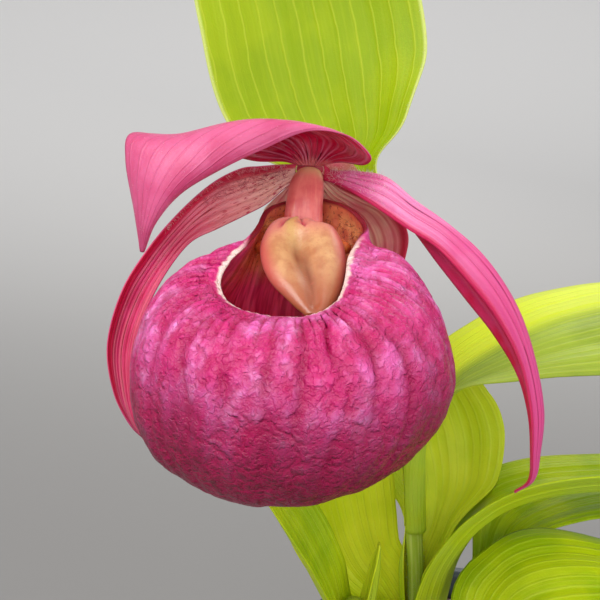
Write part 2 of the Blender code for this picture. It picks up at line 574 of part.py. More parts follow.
def make_pot(group, cutters):
    """A tapered pot with a thick rolled rim and drain holes round its floor."""
    step = RIM_DROP
    outer = inner_radius(POT_HEIGHT - step) + POT_WALL
    profile = (
        (0.0, POT_FLOOR), (inner_radius(POT_FLOOR), POT_FLOOR),
        (inner_radius(POT_HEIGHT - 1.0), POT_HEIGHT - 1.0), (inner_radius(POT_HEIGHT) + 0.9, POT_HEIGHT),
        (POT_TOP_RADIUS + RIM_LIP - 0.8, POT_HEIGHT), (POT_TOP_RADIUS + RIM_LIP, POT_HEIGHT - 0.9),
        (outer + RIM_LIP + 0.6, POT_HEIGHT - step), (outer, POT_HEIGHT - step - 0.6),
        (POT_FOOT_RADIUS + 0.3, 1.6), (POT_FOOT_RADIUS - 1.0, 0.0), (0.0, 0.0),
    )
    pot = turned("pot", profile, "pot", group, 40)
    for hole in range(DRAIN_HOLES):
        turn = 2 * math.pi * (hole + 0.5) / DRAIN_HOLES
        at = (DRAIN_CIRCLE * math.cos(turn), DRAIN_CIRCLE * math.sin(turn))
        cut(pot, cutter(f"drain_cutter_{hole + 1}", at, DRAIN_RADIUS, -2.0, POT_FLOOR + 2.0, cutters))


def soil_height(x, y):
    """The soil's uneven top."""
    lumps = noise.noise(Vector((x / 9.0, y / 9.0, 3.0))) + 0.5 * noise.noise(Vector((x / 4.0, y / 4.0, 8.0)))
    return SOIL_TOP + SOIL_RELIEF * lumps


def make_soil(group, cutters, holes):
    """The potting mix, a solid that fills the pot, with a hole for each shoot."""
    sides = 32
    floor = POT_FLOOR + GAP
    rings = []
    for radius, height in ((inner_radius(floor) * 0.5, floor), (inner_radius(floor) - GAP - 0.3, floor)):
        rings.append([(radius, k, height) for k in range(sides)])
    edge = inner_radius(SOIL_TOP - 2.0) - GAP - 0.3
    rings.append([(edge, k, SOIL_TOP - 2.0) for k in range(sides)])
    for share in (0.97, 0.86, 0.74, 0.62, 0.5, 0.38, 0.26, 0.13):
        rings.append([(edge * share, k, None) for k in range(sides)])
    grid = np.zeros((len(rings), sides, 3))
    for row, ring in enumerate(rings):
        for radius, k, height in ring:
            turn = 2 * math.pi * (k + 0.5 * (row % 2)) / sides
            x, y = radius * math.cos(turn), radius * math.sin(turn)
            grid[row, k] = (x, y, soil_height(x, y) if height is None else height)
    mesh = grid_mesh("soil", grid, wraps=True)
    shape = bmesh.new()
    shape.from_mesh(mesh)
    bmesh.ops.holes_fill(shape, edges=[e for e in shape.edges if e.is_boundary], sides=sides)
    bmesh.ops.triangulate(shape, faces=[f for f in shape.faces if len(f.verts) > 4])
    bmesh.ops.recalc_face_normals(shape, faces=shape.faces)
    shape.to_mesh(mesh)
    shape.free()
    soil = place("soil", mesh, "soil", group)
    for name, at, radius, low in holes:
        cut(soil, cutter(f"{name}_cutter", at, radius, low, SOIL_TOP + 8.0, cutters))


def make_shoots(group):
    """The three shoots with their stems and leaves."""
    stem("stem_a", STEM_A, STEM_RADIUS, group)
    leaf("leaf_a1", LEAF_A1, "leaf", group, rows=15)
    leaf("leaf_a2", LEAF_A2, "leaf", group)
    leaf("leaf_a3", LEAF_A3, "leaf", group)
    leaf("leaf_a4", LEAF_A4, "leaf", group, rows=16)
    leaf("bract", BRACT, "bract", group, rows=15, columns=11)
    stem("stem_b", STEM_B, STEM_RADIUS - 0.2, group)
    leaf("leaf_b1", LEAF_B1, "leaf", group)
    leaf("leaf_b2", LEAF_B2, "leaf", group, rows=11, columns=7)
    stem("stem_c", STEM_C, STEM_RADIUS - 0.2, group)
    leaf("leaf_c1", LEAF_C1, "leaf", group)
    leaf("leaf_c2", LEAF_C2, "leaf", group)


def make_flower(group):
    """The ovary and everything that it carries."""
    fleshy("ovary", OVARY, "stem", group, ribbed_section, rows=14, sides=12)
    tepal("dorsal_sepal", DORSAL_SEPAL, group, rows=24, columns=9)
    tepal("synsepal", SYNSEPAL, group, rows=16)
    tepal("petal_left", PETAL_LEFT, group)
    tepal("petal_right", PETAL_RIGHT, group)
    pouch = pouch_surface(POUCH_SIDES, POUCH_RINGS, MARGIN_RINGS)
    sheet("lip", pouch, "lip", group, LIP_THICKNESS, wraps=True, pole=True)
    fleshy("column", COLUMN, "column", group, rows=12, sides=14)
    fleshy("staminode", STAMINODE, "staminode", group, lobed_section, rows=14, sides=20)
    fleshy("stigma", STIGMA, "stigma", group, rows=7, sides=10)
    fleshy("anther_right", ANTHER_RIGHT, "anther", group, rows=7, sides=10)
    fleshy("anther_left", mirrored(ANTHER_RIGHT, COLUMN_MIDDLE), "anther", group, rows=7, sides=10)


def main():
    """Builds the plant in its pot."""
    clear_scene()
    parts = collection("slipper_orchid")
    cutters = collection("cutters")
    make_pot(parts, cutters)
    holes = (("shoot_a", (-11.9, 13.0), 6.3, 60.0), ("shoot_b", (-29.0, 1.0), 4.6, 62.0),
             ("shoot_c", (0.0, -2.0), 5.0, 62.0))
    make_soil(parts, cutters, holes)
    make_shoots(parts)
    make_flower(parts)


main()
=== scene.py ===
"""The looks of a potted slipper orchid: fine surfaces, finishes, hairs, potting mix, lights and camera.

Lengths are in millimetres until a mesh is made. +Z is up and the flower looks along -Y. The tables
of stations are those that the solids are drawn from, so each fine surface lies on its solid.
"""

import math

import bmesh
import bpy
import numpy as np
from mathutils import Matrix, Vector, noise


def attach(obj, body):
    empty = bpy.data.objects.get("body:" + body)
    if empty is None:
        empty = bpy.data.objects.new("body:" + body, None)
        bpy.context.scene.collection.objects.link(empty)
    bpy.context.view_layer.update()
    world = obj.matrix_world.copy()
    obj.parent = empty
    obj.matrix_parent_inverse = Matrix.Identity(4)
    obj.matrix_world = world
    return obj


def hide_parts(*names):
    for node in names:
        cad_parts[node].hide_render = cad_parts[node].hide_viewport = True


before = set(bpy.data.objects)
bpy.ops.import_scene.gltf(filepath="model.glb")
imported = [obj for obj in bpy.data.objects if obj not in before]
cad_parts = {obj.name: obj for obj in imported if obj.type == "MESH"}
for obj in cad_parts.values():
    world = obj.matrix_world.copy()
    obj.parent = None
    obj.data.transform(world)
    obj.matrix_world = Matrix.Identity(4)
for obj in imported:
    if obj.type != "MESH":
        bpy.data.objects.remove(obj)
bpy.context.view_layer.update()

MM = 0.001

# The pot and what fills it.
POT_HEIGHT = 91.0
POT_TOP_RADIUS = 50.0
POT_FOOT_RADIUS = 37.0
POT_WALL = 1.8
POT_FLOOR = 2.2
RIM_DROP = 9.0
RIM_LIP = 2.2
DRAIN_HOLES = 6
DRAIN_RADIUS = 4.0
DRAIN_CIRCLE = 25.0
SOIL_TOP = 84.0
SOIL_RELIEF = 1.5

# The leaves and the thin parts of the flower.
PLEAT_DEPTH = 0.3
LEAF_PLEATS = 4
LEAF_RIBS = 12
LEAF_RIB_SHARE = 0.35
SHUT = math.radians(200)
OPEN = math.radians(120)
STEM_RADIUS = 2.2
YOUNG_STEM_RADIUS = STEM_RADIUS - 0.2
STEM_FACING = (0.0, -1.0, 0.0)

# Where the ovary ends and the flower begins.
FLOWER = Vector((-42.0, -10.0, 224.0))

# The pouch: its centre from FLOWER, its half sizes and how far its foot leans to the left.
POUCH_CENTRE = Vector((-3.3, -29.0, -33.0))
POUCH_HALF_WIDTH = 27.6
POUCH_HALF_DEPTH = 21.0
POUCH_DROP = 21.8
POUCH_LEAN = 0.12

# Each shoot's stem, from inside the soil to its top, as points on its axis.
STEM_A = ((-12, 13, 62), (-12.2, 13.2, 96), (-13.6, 14.2, 124), (-16, 15.8, 158),
          (-20.5, 17.2, 186), (-25.6, 18, 203.5))
STEM_B = ((-29, 1, 64), (-29, 1, 84), (-29.4, 1, 100), (-30.6, 0.8, 116))
STEM_C = ((0, -2, 64), (0, -2, 84), (0.4, -2, 96), (1.4, -1.8, 108))

# A leaf is a row of stations along its midrib: the midrib point, the way its upper face looks,
# its width measured round the section, and the angle that the section turns through.
LEAF_A1 = (
    ((-6.7, 11.8, 83), (-1, 0.25, 0), 28, 290),
    ((-6.6, 11.8, 94), (-1, 0.25, 0), 28, 280),
    ((-5.4, 11.4, 108), (-0.9, 0.25, 0.3), 30, 150),
    ((-2.5, 10.6, 123), (-0.85, 0.3, 0.4), 32, 105),
    ((5, 9.5, 135), (-0.6, 0.3, 0.75), 34, 95),
    ((16, 8.5, 141), (-0.25, 0.3, 0.9), 34, 95),
    ((33, 8, 143.5), (-0.05, 0.3, 0.95), 34, 85),
    ((52, 8, 143.5), (0.1, 0.2, 0.98), 31, 65),
    ((71, 8, 140.5), (0.25, 0.1, 0.97), 20, 45),
    ((87, 8, 133), (0.4, 0.1, 0.9), 1.6, 20),
)
LEAF_A2 = (
    ((-16.2, 14.8, 90), (0.92, -0.4, 0), 23, 290),
    ((-17.2, 15.4, 99), (0.9, -0.4, 0.1), 23.8, 268),
    ((-22, 16.8, 107), (0.75, -0.6, 0.3), 24.8, 163),
    ((-28.6, 18, 116), (0.4, -0.85, 0.35), 27, 90),
    ((-32.8, 17.4, 128), (0.3, -0.9, 0.3), 31, 60),
    ((-35.6, 15.6, 141), (0.3, -0.9, 0.25), 33, 50),
    ((-40, 13.4, 156), (0.35, -0.9, 0.2), 32, 45),
    ((-46, 11.4, 170), (0.4, -0.9, 0.15), 19, 45),
    ((-50, 8.4, 181), (0.4, -0.9, 0.1), 1.6, 20),
)
LEAF_A3 = (
    ((-11.3, 17, 100), (-0.3, -0.95, 0), 18.5, 290),
    ((-12.1, 17.8, 116), (-0.3, -0.95, 0), 19.4, 278),
    ((-8, 20, 126), (-0.5, -0.8, 0.3), 17, 130),
    ((-6, 26.4, 135), (-0.2, -0.9, 0.4), 33, 65),
    ((-7.4, 31, 145), (-0.1, -0.95, 0.25), 41, 48),
    ((-10.2, 33.4, 155), (-0.1, -0.98, 0.15), 38, 40),
    ((-12.6, 34.4, 165), (-0.1, -0.98, 0.05), 26, 35),
    ((-13.6, 34, 176), (-0.1, -0.98, 0), 1.6, 20),
)
LEAF_A4 = (
    ((-10.9, 14.4, 128), (-1, 0, 0), 14.5, 290),
    ((-11.6, 15, 142), (-1, 0, 0.05), 15, 280),
    ((-11.4, 15.8, 154), (-0.95, 0, 0.25), 18, 170),
    ((-6.5, 18, 166), (-0.8, -0.1, 0.55), 26, 90),
    ((5, 20, 174.5), (-0.45, -0.2, 0.87), 32, 25),
    ((24, 21, 183), (-0.2, -0.2, 0.95), 44, -20),
    ((50, 20, 187.4), (0.02, -0.17, 0.97), 47, -32),
    ((78, 16, 182), (0.3, -0.15, 0.95), 33, -25),
    ((101, 11, 169), (0.55, -0.1, 0.83), 1.6, -10),
)
LEAF_B1 = (
    ((-32.4, 1, 82), (1, 0, 0), 17, 290),
    ((-33.3, 1, 96), (1, 0, 0), 18.6, 270),
    ((-34, -1.6, 110), (0.9, 0.1, 0.3), 18, 150),
    ((-38, -5, 124), (0.85, -0.2, 0.4), 19.5, 110),
    ((-44.5, -7.6, 140), (0.8, -0.2, 0.5), 21, 90),
    ((-52, -8.4, 154), (0.75, -0.2, 0.5), 15, 70),
    ((-58.5, -8, 164), (0.75, -0.2, 0.4), 1.6, 20),
)
LEAF_B2 = (
    ((-26.6, 1, 96), (-1, 0, 0), 13.2, 280),
    ((-26.7, 0.8, 104), (-1, 0, 0.1), 10.8, 185),
    ((-26, 0.4, 112), (-1, 0, 0.1), 10.5, 165),
    ((-25.2, 0, 120), (-1, 0, 0.1), 8.5, 140),
    ((-24.8, -0.3, 127), (-1, 0, 0.1), 6, 110),
    ((-24.6, -0.4, 133), (-1, 0, 0.1), 1.6, 20),
)
LEAF_C1 = (
    ((3.6, -3, 80), (-1, 0.3, 0), 17.5, 290),
    ((4, -3, 90), (-1, 0.3, 0.05), 18, 260),
    ((6.6, -6.8, 101), (-0.88, 0.3, 0.35), 19, 145),
    ((6.2, -15, 114), (-0.6, -0.25, 0.7), 25, 40),
    ((4.6, -15.8, 126), (-0.4, -0.3, 0.9), 38, -20),
    ((16, -16.8, 132.5), (-0.05, -0.25, 1), 44, -38),
    ((38, -18.4, 131.5), (0.25, -0.15, 0.97), 36, -35),
    ((56, -19.4, 124), (0.4, -0.1, 0.9), 21, -25),
    ((69, -19.6, 115), (0.6, -0.05, 0.8), 1.6, -10),
)
LEAF_C2 = (
    ((0.4, 0.75, 95), (0, -1, 0), 13.6, 280),
    ((0.9, 1.35, 107), (0, -1, 0), 14, 250),
    ((6.2, 8.6, 119), (-0.5, -0.7, 0.3), 11.6, 125),
    ((12, 15.2, 129), (-0.5, -0.35, 0.8), 19, 62),
    ((26, 20.4, 134), (-0.25, -0.15, 0.93), 25, 30),
    ((42, 23, 135.5), (0, -0.1, 1), 27, 15),
    ((58, 24, 132.5), (0.25, -0.1, 0.95), 20, 10),
    ((71, 24, 125), (0.45, -0.1, 0.85), 1.6, 5),
)
BRACT = (
    ((-22.6, 20.3, 199), (-0.55, -0.8, 0.3), 12.2, 230),
    ((-25, 22.4, 208), (-0.55, -0.8, 0.2), 14, 160),
    ((-31.6, 24.8, 219.5), (-0.35, -0.92, 0.2), 18, 110),
    ((-34.6, 26.2, 228.5), (-0.2, -0.95, 0.2), 38.5, 85),
    ((-38.2, 27.8, 240), (-0.1, -0.98, 0.15), 51.5, 64),
    ((-41.8, 29.5, 257), (0, -1, 0.05), 53, 50),
    ((-46.2, 29.5, 275), (0, -1, -0.05), 48, 42),
    ((-49.6, 27, 292), (0, -1, -0.2), 29, 38),
    ((-51.5, 23.5, 306), (0, -0.95, -0.3), 1.6, 20),
)

# A tepal is a row of stations from FLOWER to its tip: one margin, the middle and the other margin.
DORSAL_SEPAL = (
    ((2.6, 0.1, 0.8), (0, 0.1, 0.8), (-2.4, 0.1, 0.8)),
    ((6.2, -0.8, 1.6), (0.3, 0.3, 3.6), (-5.4, 0.4, 1.6)),
    ((10.4, -5, 1.4), (-0.4, -0.6, 6.6), (-10.4, 1.8, 1.5)),
    ((11.2, -9, 3.4), (-3.4, -5.5, 8.3), (-14.6, 2, 2.4)),
    ((6.8, -12.5, 7.2), (-8, -10.5, 9.3), (-18.4, 0.6, 3.4)),
    ((-0.5, -15.5, 8.2), (-13, -15, 9.8), (-22, -3.5, 5)),
    ((-8.5, -18, 5.2), (-18, -18.5, 8), (-25.8, -8.5, 6.4)),
    ((-16, -20, 1.8), (-22.5, -21, 4.6), (-32.4, -13, 7.7)),
    ((-22.8, -20.5, -2.2), (-26.2, -22, -0.6), (-33, -16.2, 3.2)),
    ((-27.5, -20, -7.4), (-28.8, -21, -7), (-31.6, -18, -5.6)),
    ((-30.2, -18.4, -12.8), (-30.5, -18.5, -12.9), (-30.8, -18.4, -12.8)),
)
PETAL_LEFT = (
    ((-2.7, -0.8, 1.2), (-2.9, -0.8, -0.4), (-2.7, -0.8, -2)),
    ((-6, -1.6, 1.1), (-5.6, 0, -1.2), (-5.4, -0.8, -3.8)),
    ((-9.8, -2.8, 0.9), (-9.6, 0.8, -2.8), (-8.8, -1.4, -6.6)),
    ((-13.6, -5, 0.6), (-14, -0.4, -4), (-13.4, -3.4, -8.8)),
    ((-18.8, -8, -1.9), (-18.8, -4.2, -5.6), (-18.2, -6.5, -10.8)),
    ((-24.6, -11, -6.8), (-24, -8.2, -9.6), (-23.2, -10, -13)),
    ((-30.4, -13, -13.3), (-29.5, -10.8, -16), (-28, -12, -19)),
    ((-35.8, -14, -21.6), (-34.4, -12, -24), (-31.8, -13, -26.2)),
    ((-39.2, -14, -32.2), (-37.4, -12.5, -33.4), (-34.2, -13.5, -33.8)),
    ((-38.6, -14, -42), (-37.2, -13, -42.6), (-34.8, -13.5, -42.5)),
    ((-36, -13.2, -49), (-35.4, -12.8, -49.4), (-34.2, -13, -49.4)),
    ((-32.8, -12, -53.4), (-32.5, -12, -53.6), (-32.2, -12, -53.4)),
)
PETAL_RIGHT = (
    ((2.7, -0.8, -2), (2.9, -0.8, -0.4), (2.7, -0.8, 1.2)),
    ((6, -3.4, -2.8), (5.6, -1.6, -0.3), (5.6, -0.2, -1.8)),
    ((9.6, -7, -4.6), (10, -4.2, -0.4), (9, -0.8, -2.8)),
    ((13.4, -10.6, -6.8), (14.6, -7.2, -1.2), (14, -3, -5.6)),
    ((18, -14.4, -9.6), (19.6, -11, -5), (19.4, -7.2, -10.4)),
    ((22.8, -17.6, -12.4), (25.6, -15, -9.2), (24.4, -11, -16.8)),
    ((28.4, -20.6, -18.2), (31.6, -18, -14.6), (29.4, -14, -23)),
    ((33.6, -22.4, -24.8), (36.8, -20.4, -22.4), (34.6, -16.2, -29.4)),
    ((38, -23, -33), (40.6, -21.4, -31.8), (39, -18.2, -36.6)),
    ((40.6, -23, -42.6), (43.2, -21.8, -42.2), (41.4, -19.2, -44.4)),
    ((41.6, -22.6, -51), (43.4, -21.6, -50.8), (42.2, -20, -52)),
    ((42, -21.4, -57), (43, -21, -57), (42.2, -20.2, -57.4)),
    ((40, -19.2, -60.7), (40.2, -19, -60.9), (40.4, -18.8, -60.7)),
)
SYNSEPAL = (
    ((2.6, 0.1, -0.9), (0, 0.1, -1.2), (-2.4, 0.1, -0.9)),
    ((6.4, 0.8, -3.4), (0.8, 0.3, -4.4), (-5, 0.8, -3.8)),
    ((11.4, 1.4, -5.4), (3, 5.2, -8), (-7.8, 2.6, -6.6)),
    ((17, 0.4, -8.2), (5.6, 9.2, -11.4), (-9.6, 4.4, -9.2)),
    ((19.8, -1.6, -12.8), (7.8, 10, -16.6), (-8.8, 5.8, -13.6)),
    ((19, -2.2, -19), (9, 9.2, -23.4), (-6, 6, -20)),
    ((17.2, -1.4, -27.6), (9.2, 7.2, -31), (-2.2, 5, -28)),
    ((14.2, 0.4, -37.6), (8.6, 5, -39.6), (2, 4, -38)),
    ((9.4, 2, -47.6), (8.4, 2.2, -48), (7.4, 2, -47.6)),
)

# The pouch's upper part, taken round from the front by the left: the compass angle of the wall,
# the crest of its shoulder, the way the wall runs there, its edge, and the way it runs at the edge.
# Crest and edge are measured from POUCH_CENTRE.
POUCH_MOUTH = (
    (270, (0.5, -12.6, 13.4), (0, 1, 0.1), (0.7, -9, 12.8), (0, 0.7, -0.7)),
    (244, (-8.2, -11, 13.8), (0.5, 0.85, 0.1), (-5.6, -7.8, 13), (0.4, 0.6, -0.7)),
    (220, (-13.6, -6.6, 15.2), (0.85, 0.5, 0.1), (-10.2, -4.6, 14), (0.7, 0.3, -0.7)),
    (196, (-15.8, -1.2, 17.4), (1, 0.15, 0), (-12.2, -0.6, 16.4), (0.7, 0, -0.7)),
    (174, (-14.2, 3.6, 19.8), (0.95, 0, 0.1), (-11, 3.4, 19.4), (0.6, 0, -0.7)),
    (154, (-10.8, 8.6, 21.4), (0.8, 0.1, 0.3), (-8.2, 8, 21.6), (0.6, 0, -0.4)),
    (132, (-8, 14.6, 20), (0.45, 0.2, 0.9), (-6.2, 15.4, 24), (0.4, 0.2, 0.8)),
    (112, (-5.4, 20.8, 21), (0.2, 0.3, 0.9), (-4.2, 22, 26.6), (0.2, 0.2, 0.9)),
    (90, (2, 24.6, 18), (0.05, 0.35, 0.95), (2.8, 27.9, 27.6), (0, 0.3, 0.95)),
    (68, (10.4, 21.6, 20), (-0.1, 0.3, 0.95), (9.6, 22.6, 27), (-0.2, 0.2, 0.9)),
    (48, (14.2, 15.6, 18.6), (-0.35, 0.2, 0.9), (13.2, 16.4, 24.2), (-0.4, 0.1, 0.8)),
    (26, (15.2, 9.2, 20.8), (-0.9, 0, 0.2), (11.6, 10.4, 21.6), (-0.7, 0.1, -0.5)),
    (4, (13.8, 2.8, 19.8), (-1, 0.1, 0), (9.8, 4.6, 19.8), (-0.7, 0.1, -0.7)),
    (-20, (12.2, -3.2, 17.6), (-0.95, 0.3, 0), (9, -0.6, 17.2), (-0.7, 0.2, -0.7)),
    (-44, (10, -8.8, 15.8), (-0.7, 0.7, 0), (7.6, -4.8, 14.8), (-0.6, 0.4, -0.7)),
    (-67, (5.8, -11.8, 14), (-0.3, 0.95, 0.1), (4.6, -7.8, 13.4), (-0.3, 0.7, -0.7)),
)

# A fleshy body is a row of stations along it: its centre, half width and half thickness.
OVARY = (
    ((16.2, 28, -19.6), 2.3, 2.3), ((14.2, 26.6, -13.6), 2.7, 2.7), ((10.4, 22.6, -6), 3, 3),
    ((5.8, 15.8, -0.6), 3, 3), ((2.2, 9, 0.9), 2.7, 2.7), ((0.5, 4.4, 0.6), 2.4, 2.4),
    ((0, 2.2, 0.1), 2.6, 2.6), ((0, 1.4, 0), 2.5, 2.5),
)
COLUMN = (
    ((-0.1, -0.6, -0.6), 1.9, 1.2), ((-0.2, -1.8, -1), 2.7, 1.9), ((-0.7, -4.2, -2.8), 3.4, 2.3),
    ((-1.2, -7, -6.2), 3.6, 2.3), ((-1.4, -9, -10), 3.7, 1.9), ((-1.5, -10.8, -13.6), 3.4, 1.8),
    ((-1.5, -12, -16), 1.6, 1.3),
)
STAMINODE = (
    ((-2, -11.8, -8), 2.4, 0.8), ((-2.2, -12.8, -9.2), 5.6, 1.7), ((-1.9, -15, -11.2), 7.2, 2.5),
    ((-1.5, -18.5, -13.4), 7.7, 2.6), ((-0.7, -22.5, -15.9), 7.1, 2.4), ((0.1, -26, -18.2), 5.4, 2),
    ((0.5, -28.8, -20.2), 3.4, 1.4), ((0.6, -30.6, -21.5), 1.6, 0.8),
)
STIGMA = (
    ((-1.5, -13, -17.6), 1.6, 1), ((-1.4, -14.8, -19.2), 3, 1.9), ((-1.2, -17.4, -20.8), 3.1, 2),
    ((-1, -19.6, -22), 1.6, 1),
)
ANTHER_RIGHT = (
    ((2.6, -10.9, -12.4), 0.7, 0.8), ((4, -12, -13.2), 1.3, 1.2), ((5.4, -13.2, -13.2), 1.7, 1.6),
    ((6.9, -14.6, -13.2), 1, 0.9),
)
COLUMN_MIDDLE = -1.45
COLUMN_FACING = (0.0, -0.53, 0.85)
STAMINODE_GROOVE = 0.5
STAMINODE_GROOVE_WIDTH = 1.6
VALLEY_DEPTH = 0.5
VALLEY_WIDTH = 0.42
OVARY_RIB = 0.06

# Where the shoots leave the soil, and the radius that is kept clear round each.
SHOOTS = (((-11.9, 13.0), 6.0), ((-29.0, 1.0), 4.3), ((0.0, -2.0), 4.7))

# The lights: each one's name, its place and size in metres, its power and its colour.
LAMPS = (
    ("key", (-0.42, -0.42, 0.80), 0.5, 4.4, (1.0, 0.98, 0.95)),
    ("fill", (0.60, -0.50, 0.38), 0.6, 1.8, (0.96, 0.98, 1.0)),
    ("back", (0.25, 0.60, 0.75), 0.5, 2.2, (1.0, 0.99, 0.94)),
    ("front", (-0.06, -0.55, 0.40), 0.35, 1.0, (1.0, 0.98, 0.97)),
)
ROOM_POWER = 0.62
ROOM_COLOUR = (0.96, 0.965, 0.975, 1.0)

# The paper's tone near and far, and between which places behind the pot, in metres, it turns: the dark near
# tone is painted shade and the bright far tone painted light.
SWEEP_NEAR_PAINTED_SHADE = (0.28, 0.273, 0.27, 1.0)
SWEEP_FAR_PAINTED_LIGHT = (0.93, 0.92, 0.91, 1.0)
SWEEP_TURNS = (0.1, 1.5)

# How finely the surfaces are drawn.
LEAF_GRID = (110, 49)
BRACT_GRID = (130, 61)
TEPAL_GRID = (130, 45)
LIP_SIDES = 300
LIP_RINGS = 54
LIP_MARGIN_RINGS = 22
BODY_GRID = (60, 48)
STIGMA_GRID = (24, 28)
ANTHER_GRID = (24, 24)
OVARY_GRID = (70, 40)
STEM_GRID = (90, 24)
POT_SIDES = 144
DRAIN_SIDES = 32
CORNER_STEPS = 4

# How thick the fine sheets are, in the middle and at the margin.
LEAF_SHEET = (0.5, 0.3)
BRACT_SHEET = (0.5, 0.25)
TEPAL_SHEET = (0.55, 0.25)
LIP_SHEET = 0.6
LIP_BEAD = 1.0

# The angles round the lip, in degrees from its +X side, where a vein sinks into it as a groove.
LIP_GROOVES = (8, 32, 58, 84, 110, 136, 162, 184, 200, 216, 232, 247, 261, 273, 285, 298, 312, 327, 344)

# The lip's skin: how wide and deep its grooves are and how far they wander and branch, in degrees, its
# swellings, the puckers under its rim, the rim's crimp, and the ring of points where its hairs start.
LIP_GROOVE_WIDTH = 2.1
LIP_GROOVE_DEPTH = 0.7
LIP_GROOVE_WANDER = 4.0
LIP_GROOVE_BRANCH = 9.0
LIP_SWELL = 0.38
LIP_PUCKERS = 74
LIP_PUCKER_DEPTH = 0.28
LIP_CRIMP = 0.28
LIP_HAIR_RING = 100

# The two notches at the shield's top: the way that they run down it, how deep they are, and how far
# from the groove and how wide, as shares of the shield's half width.
NOTCH_WAY = np.array([0.05, -0.82, -0.57])
NOTCH_DEPTH = 2.2
NOTCH_APART = 0.34
NOTCH_WIDTH = 0.11

# How far hairs bend, as a share of their length, and veins wander, as a share of their spacing.
HAIR_CURL = 0.35
VEIN_WANDER = 0.35

# How far light spreads in flesh, as shares for red, green and blue.
GLOW_SPREAD = (1.0, 0.6, 0.4)
COAT_ROUGHNESS = 0.25

# What lies on the soil: how many, and the smallest and largest half sizes.
BARK_COUNT = 430
BARK_SMALL = (1.6, 1.1, 0.5)
BARK_LARGE = (3.6, 2.2, 1.1)
BARK_RISE = 0.4
GRIT_COUNT = 520
GRIT_SMALL = 0.4
GRIT_LARGE = 1.1
GRIT_RISE = 0.9
MOSS_CUSHIONS = 26
MOSS_BLADES = 90
MOSS_SPREAD = 2.1

# Where each set of random draws starts.
GROOVE_SEED = 39
GROOVE_DEPTH_SEED = 70
HAIR_ROOT_SEED = 100
HAIR_SHAPE_SEED = 200
BRACT_DOWN_SEED = 300
STEM_DOWN_SEED = 401
SOIL_SEED = 500

# The camera: where it stands, how far it looks down, and its lens.
CAMERA_PLACE = (-44.0, -161.6, 237.7)
CAMERA_DIP = 15.0
CAMERA_LENS = 45.0

# The sweep of paper that the pot stands on, which curves up behind it.
SWEEP_HALF_WIDTH = 2600.0
SWEEP_FRONT = -1500.0
SWEEP_BACK = 600.0
SWEEP_RADIUS = 1200.0
SWEEP_HEIGHT = 2400.0


# Curves and surfaces


def flow(stations, places, closed=False):
    """Reads a smooth curve through rows of numbers, at places from 0 to 1 along it."""
    rows = np.asarray(stations, dtype=float)
    if closed:
        rows = np.concatenate([rows[-1:], rows, rows[:2]])
    else:
        rows = np.concatenate([2 * rows[:1] - rows[1:2], rows, 2 * rows[-1:] - rows[-2:-1]])
    spans = len(rows) - 3
    along = np.clip(np.asarray(places) * spans, 0, spans - 1e-9)
    first = along.astype(int)
    part = (along - first)[:, None]
    a, b, c, d = rows[first], rows[first + 1], rows[first + 2], rows[first + 3]
    bend = 2 * a - 5 * b + 4 * c - d
    return 0.5 * (2 * b + (c - a) * part + bend * part**2 + (3 * b - a - 3 * c + d) * part**3)


def unit(vectors):
    """The same directions, one long."""
    return vectors / np.maximum(np.linalg.norm(vectors, axis=-1, keepdims=True), 1e-12)


def smoothstep(low, high, value):
    """Goes gently from 0 at low to 1 at high."""
    share = np.clip((value - low) / (high - low), 0.0, 1.0)
    return share * share * (3 - 2 * share)


def waver(values, seed, waves=6):
    """A smooth random line from -1 to 1, read at values; it repeats over each whole turn of 2 pi."""
    draw = np.random.default_rng(seed)
    total = np.zeros_like(np.asarray(values, dtype=float))
    for wave in range(1, waves + 1):
        total += draw.normal() * np.sin(wave * values + draw.uniform(0, 2 * math.pi)) / math.sqrt(wave)
    return total / math.sqrt(waves)


def leaf_surface(stations, rows, columns, pleat):
    """A pleated blade that wraps its stem below and opens above, as rows of points."""
    table = [(*mid, *facing, width, math.radians(turn)) for mid, facing, width, turn in stations]
    places = np.linspace(0, 1, rows)
    read = flow(table, places)
    mid = read[:, 0:3]
    along = unit(np.gradient(mid, axis=0))
    across = unit(np.cross(along, read[:, 3:6]))
    facing = np.cross(across, along)
    width = read[:, 6]
    turn = np.where(np.abs(read[:, 7]) < 0.02, 0.02, read[:, 7])
    spread = np.linspace(-1, 1, columns)
    angle = np.outer(turn / 2, spread)
    radius = (width / turn)[:, None]
    fold = pleat * (smoothstep(SHUT, OPEN, turn) * smoothstep(1.0, 0.8, places))[:, None]
    pleats = np.cos(LEAF_PLEATS * math.pi * (spread + 1))
    ribs = LEAF_RIB_SHARE * np.cos(LEAF_RIBS * math.pi * (spread + 1))
    fold = -fold * (pleats + ribs)
    side = radius * np.sin(angle) - fold * np.sin(angle)
    lift = radius * (1 - np.cos(angle)) + fold * np.cos(angle)
    return mid[:, None] + side[..., None] * across[:, None] + lift[..., None] * facing[:, None]


def tepal_surface(stations, rows, columns):
    """A sheet through two margins and a middle line, as rows of points."""
    table = [(*one, *middle, *other) for one, middle, other in stations]
    read = flow(table, np.linspace(0, 1, rows)).reshape(rows, 3, 3)
    v = np.linspace(-1, 1, columns)
    weights = np.stack([v * (v - 1) / 2, 1 - v * v, v * (v + 1) / 2])
    return np.einsum("rkx,kc->rcx", read, weights) + np.array(FLOWER)


def bezier(start, start_pull, end_pull, end, share):
    """Points of a cubic curve between two rows of points."""
    rest = 1 - share
    return (rest**3 * start + 3 * rest**2 * share * start_pull
            + 3 * rest * share**2 * end_pull + share**3 * end)


